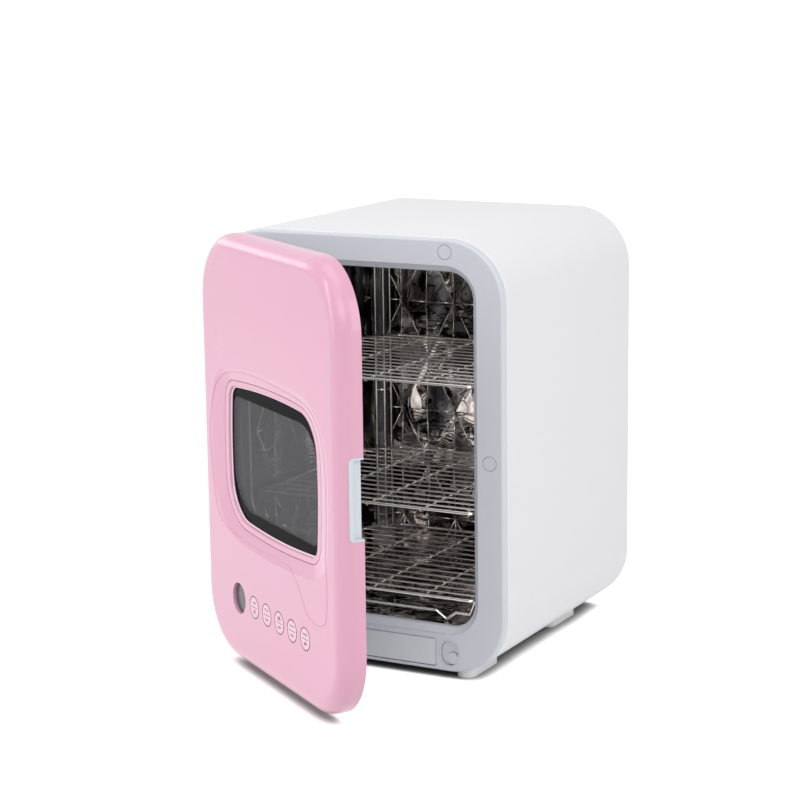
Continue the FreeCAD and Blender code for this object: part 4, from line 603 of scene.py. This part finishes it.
keys, fields = bmesh.new(), bmesh.new()
for k, sign in enumerate(SIGNS_MM):
    x = FIRST_KEY_X + KEY_STEP * k
    add_print(keys, strip(key_round(x, RING_POINTS), RING_LINE, True))
    middle = [Vector((x - MIDDLE_REACH, KEY_Z)), Vector((x + MIDDLE_REACH, KEY_Z))]
    add_print(keys, strip(middle, MIDDLE_LINE, False))
    for stroke in sign:
        points = [Vector((x + across / 1000, KEY_Z + height / 1000)) for across, height in stroke]
        add_print(keys, strip(points, SIGN_LINE, False))
    add_field(fields, key_round(x, FIELD_POINTS))
key_ink = Finish("key_ink", Base_Color=linear(66, 38, 52))
key_ink.gloss(0.45, 0.1, scale=900)
field_pink = Finish("field_pink", Base_Color=linear(238, 198, 214))
field_pink.gloss(0.36, 0.08, scale=300)
for name, work, finish in (("touch_keys", keys, key_ink), ("touch_fields", fields, field_pink)):
    bmesh.ops.remove_doubles(work, verts=work.verts, dist=1e-7)
    piece = add_object(name, closed_mesh(name, work))
    piece.data.materials.append(finish.material)
    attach(piece, "door")

# The door's inner panel is a flat white moulding, screwed to the shell from behind.
# A grey rubber gasket is pressed into its groove, and seals against the frame when the door is shut.
lining_white = Finish("lining_white", Base_Color=linear(226, 226, 230), Roughness=0.35)
lining_white.grain(1000, depth=0.00002, strength=0.4)
lining_white.wear("door_inner_panel", "switch_post")
gasket_grey = Finish("gasket_grey", Base_Color=linear(188, 188, 192), Roughness=0.7)
gasket_grey.grain(1500, depth=0.00004, strength=0.5)
gasket_grey.wear("door_gasket")

# The window is smoked glass with a black border printed on it, wider above and below.
# The clear part's sides are bowed; two of its corners are tight and two are wide.
# A clear pane stands behind it in the inner panel.
CLEAR_X = 0.0015
CLEAR_RIGHT_MM, CLEAR_LEFT_MM = 91.5, 92.0
CLEAR_HALF_TALL_MM = 52.0
BOW_MM = 840.0
TIGHT_MM = 8.0
UPPER_RIGHT_MM, LOWER_LEFT_MM = 33.0, 37.0
PRINT_EDGE_MM = 0.3


def door_flat(finish):
    """Across and up on the shut door, in metres."""
    shut = finish.node("ShaderNodeMapping", sockets={
        "Vector": finish.place(), "Rotation": (0, 0, OPEN), "Location": tuple(swing_back.translation)})
    parts = finish.node("ShaderNodeSeparateXYZ", sockets={0: shut}).socket.node
    return Reading(finish, parts.outputs["X"]), Reading(finish, parts.outputs["Z"])


def beyond_corner(first, second, radius):
    """How far beyond a corner a point is, where two sides meet in an arc."""
    a, b = (first + radius).most(0.0), (second + radius).most(0.0)
    return (a * a + b * b).maths("SQRT") - radius


window_glass = Finish("window_glass", Roughness=0.06, Specular_IOR_Level=0.015)
across, height = door_flat(window_glass)
u = (across - CLEAR_X) * 1000.0
w = (height - WINDOW_Z) * 1000.0
bow = w * w * (1 / BOW_MM)
right_side, left_side = u + bow - CLEAR_RIGHT_MM, bow - u - CLEAR_LEFT_MM
upper_side, lower_side = w - CLEAR_HALF_TALL_MM, -CLEAR_HALF_TALL_MM - w
corners = ((left_side, upper_side, TIGHT_MM), (right_side, upper_side, UPPER_RIGHT_MM),
           (right_side, lower_side, TIGHT_MM), (left_side, lower_side, LOWER_LEFT_MM))
upper_left, upper_right, lower_right, lower_left = (beyond_corner(*corner) for corner in corners)
border = upper_left.most(upper_right).most(lower_right).most(lower_left)
printed = border.ramp(-PRINT_EDGE_MM, PRINT_EDGE_MM)
window_glass.set("Base Color", window_glass.blend(printed, linear(100, 100, 103), linear(7, 7, 11)))
window_glass.set("Alpha", 0.55 + 0.45 * printed)
window_glass.wear("window_glass")
pane_clear = Finish("pane_clear", Base_Color=linear(210, 214, 218), Alpha=0.08)
pane_clear.gloss(0.03, 0.04, scale=20)
pane_clear.wear("window_inner_pane")

# A light grey grip is let into the door's free edge, and a round smoked lens covers its display.
# Both are snapped into the shell, and the lens lies a little below the skin.
grip_grey = Finish("grip_grey", Base_Color=linear(205, 212, 219), Roughness=0.38)
grip_grey.grain(1000, depth=0.00002, strength=0.4)
grip_grey.wear("handle_insert")
lens_dark = Finish("lens_dark", Base_Color=linear(92, 92, 96), Specular_IOR_Level=0.2)
lens_dark.gloss(0.1, 0.05, scale=60)
lens_dark.wear("display_lens")

# Cross-head screws hold the rear cover to the tie rods and the inner panel to the door's posts.
# Each is turned steel with a low head and a plain shank; one small tree makes every row of them.
HEAD_SIDES = 24
SHANK_SIDES = 12
SLOT_REACH = 1.3
SLOT_SHARE = 0.28
COVER_HEAD = (0.0038, 0.0024)
COVER_SHANK = (0.00145, 0.0114)
COVER_FACE = 0.13995
COVER_SCREW_X = 0.1269
COVER_SCREW_Z = (0.0222, 0.3778)
PANEL_HEAD = (0.003, 0.0013)
PANEL_SHANK = (0.00125, 0.0095)
PANEL_SCREW_DEPTH = 0.00135
PANEL_PLACES = [(-0.139, 0.150), (-0.139, 0.250), (0.139, 0.110), (0.139, 0.290),
                (-0.060, 0.014), (0.060, 0.014), (-0.060, 0.387), (0.060, 0.387)]


def screw_tree():
    """Cross-head screws on given points, as a Geometry Nodes tree."""
    tree = bpy.data.node_groups.new("cross_head_screws", "GeometryNodeTree")
    face = tree.interface
    face.new_socket("Places", in_out="INPUT", socket_type="NodeSocketGeometry")
    for name in ("Head Radius", "Head Height", "Shank Radius", "Shank Length", "Slot Width"):
        face.new_socket(name, in_out="INPUT", socket_type="NodeSocketFloat")
    face.new_socket("Turn", in_out="INPUT", socket_type="NodeSocketRotation")
    face.new_socket("Metal", in_out="INPUT", socket_type="NodeSocketMaterial")
    face.new_socket("Screws", in_out="OUTPUT", socket_type="NodeSocketGeometry")
    given = tree.nodes.new("NodeGroupInput").outputs
    result = tree.nodes.new("NodeGroupOutput")

    def node(kind, sockets, **settings):
        made = tree.nodes.new(kind)
        for key, value in settings.items():
            setattr(made, key, value)
        for key, value in sockets.items():
            if isinstance(value, bpy.types.NodeSocket):
                tree.links.new(value, made.inputs[key])
            else:
                made.inputs[key].default_value = value
        return made

    def times(a, b):
        return node("ShaderNodeMath", {0: a, 1: b}, operation="MULTIPLY").outputs[0]

    def moved_up(shape, rise):
        place = node("ShaderNodeCombineXYZ", {"Z": rise}).outputs[0]
        return node("GeometryNodeTransform", {"Geometry": shape, "Translation": place}).outputs[0]

    radius, height = given["Head Radius"], given["Head Height"]
    slot, length = given["Slot Width"], given["Shank Length"]
    head = node("GeometryNodeMeshCylinder", {"Vertices": HEAD_SIDES, "Radius": radius, "Depth": height})
    crossed = node("GeometryNodeMeshBoolean", {}, operation="DIFFERENCE", solver="EXACT")
    tree.links.new(moved_up(head.outputs["Mesh"], times(height, 0.5)), crossed.inputs["Mesh 1"])
    reach = times(radius, SLOT_REACH)
    for wide, deep in ((reach, slot), (slot, reach)):
        size = node("ShaderNodeCombineXYZ", {"X": wide, "Y": deep, "Z": height}).outputs[0]
        bar = node("GeometryNodeMeshCube", {"Size": size})
        tree.links.new(moved_up(bar.outputs["Mesh"], height), crossed.inputs["Mesh 2"])
    shank = node("GeometryNodeMeshCylinder", {
        "Vertices": SHANK_SIDES, "Radius": given["Shank Radius"], "Depth": length})
    whole = node("GeometryNodeJoinGeometry", {})
    tree.links.new(moved_up(shank.outputs["Mesh"], times(length, -0.5)), whole.inputs[0])
    tree.links.new(crossed.outputs[0], whole.inputs[0])
    placed = node("GeometryNodeInstanceOnPoints", {
        "Points": given["Places"], "Instance": whole.outputs[0], "Rotation": given["Turn"]})
    real = node("GeometryNodeRealizeInstances", {"Geometry": placed.outputs[0]})
    coated = node("GeometryNodeSetMaterial", {"Geometry": real.outputs[0], "Material": given["Metal"]})
    tree.links.new(coated.outputs[0], result.inputs["Screws"])
    return tree


cross_head_screws = screw_tree()


def screw_row(name, places, outward, body, stands_for, head, shank):
    """Screws at some places, with heads facing outward; head and shank are (radius, length)."""
    mesh = bpy.data.meshes.new(name + "_places")
    mesh.from_pydata(places, [], [])
    holder = add_object(name, mesh)
    modifier = holder.modifiers.new("screws", "NODES")
    modifier.node_group = cross_head_screws
    values = {"Head Radius": head[0], "Head Height": head[1], "Shank Radius": shank[0],
              "Shank Length": shank[1], "Slot Width": head[0] * SLOT_SHARE, "Metal": plain_steel.material,
              "Turn": Vector(outward).to_track_quat("Z", "Y").to_euler()}
    for item in cross_head_screws.interface.items_tree:
        if item.in_out == "INPUT" and item.name in values:
            modifier[item.identifier] = values[item.name]
    evaluated = holder.evaluated_get(bpy.context.evaluated_depsgraph_get())
    made = bpy.data.meshes.new_from_object(evaluated)
    holder.modifiers.remove(modifier)
    holder.data = made
    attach(holder, body)
    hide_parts(stands_for)


cover_places = [(x, COVER_FACE, z) for x in (-COVER_SCREW_X, COVER_SCREW_X) for z in COVER_SCREW_Z]
screw_row("cover_screw_set", cover_places, (0, 1, 0), "cabinet", "cover_screws", COVER_HEAD, COVER_SHANK)
panel_places = [swing @ Vector((x, DOOR_BACK - PANEL_SCREW_DEPTH, z)) for x, z in PANEL_PLACES]
screw_row("panel_screw_set", panel_places, -outwards, "door", "panel_screws", PANEL_HEAD, PANEL_SHANK)
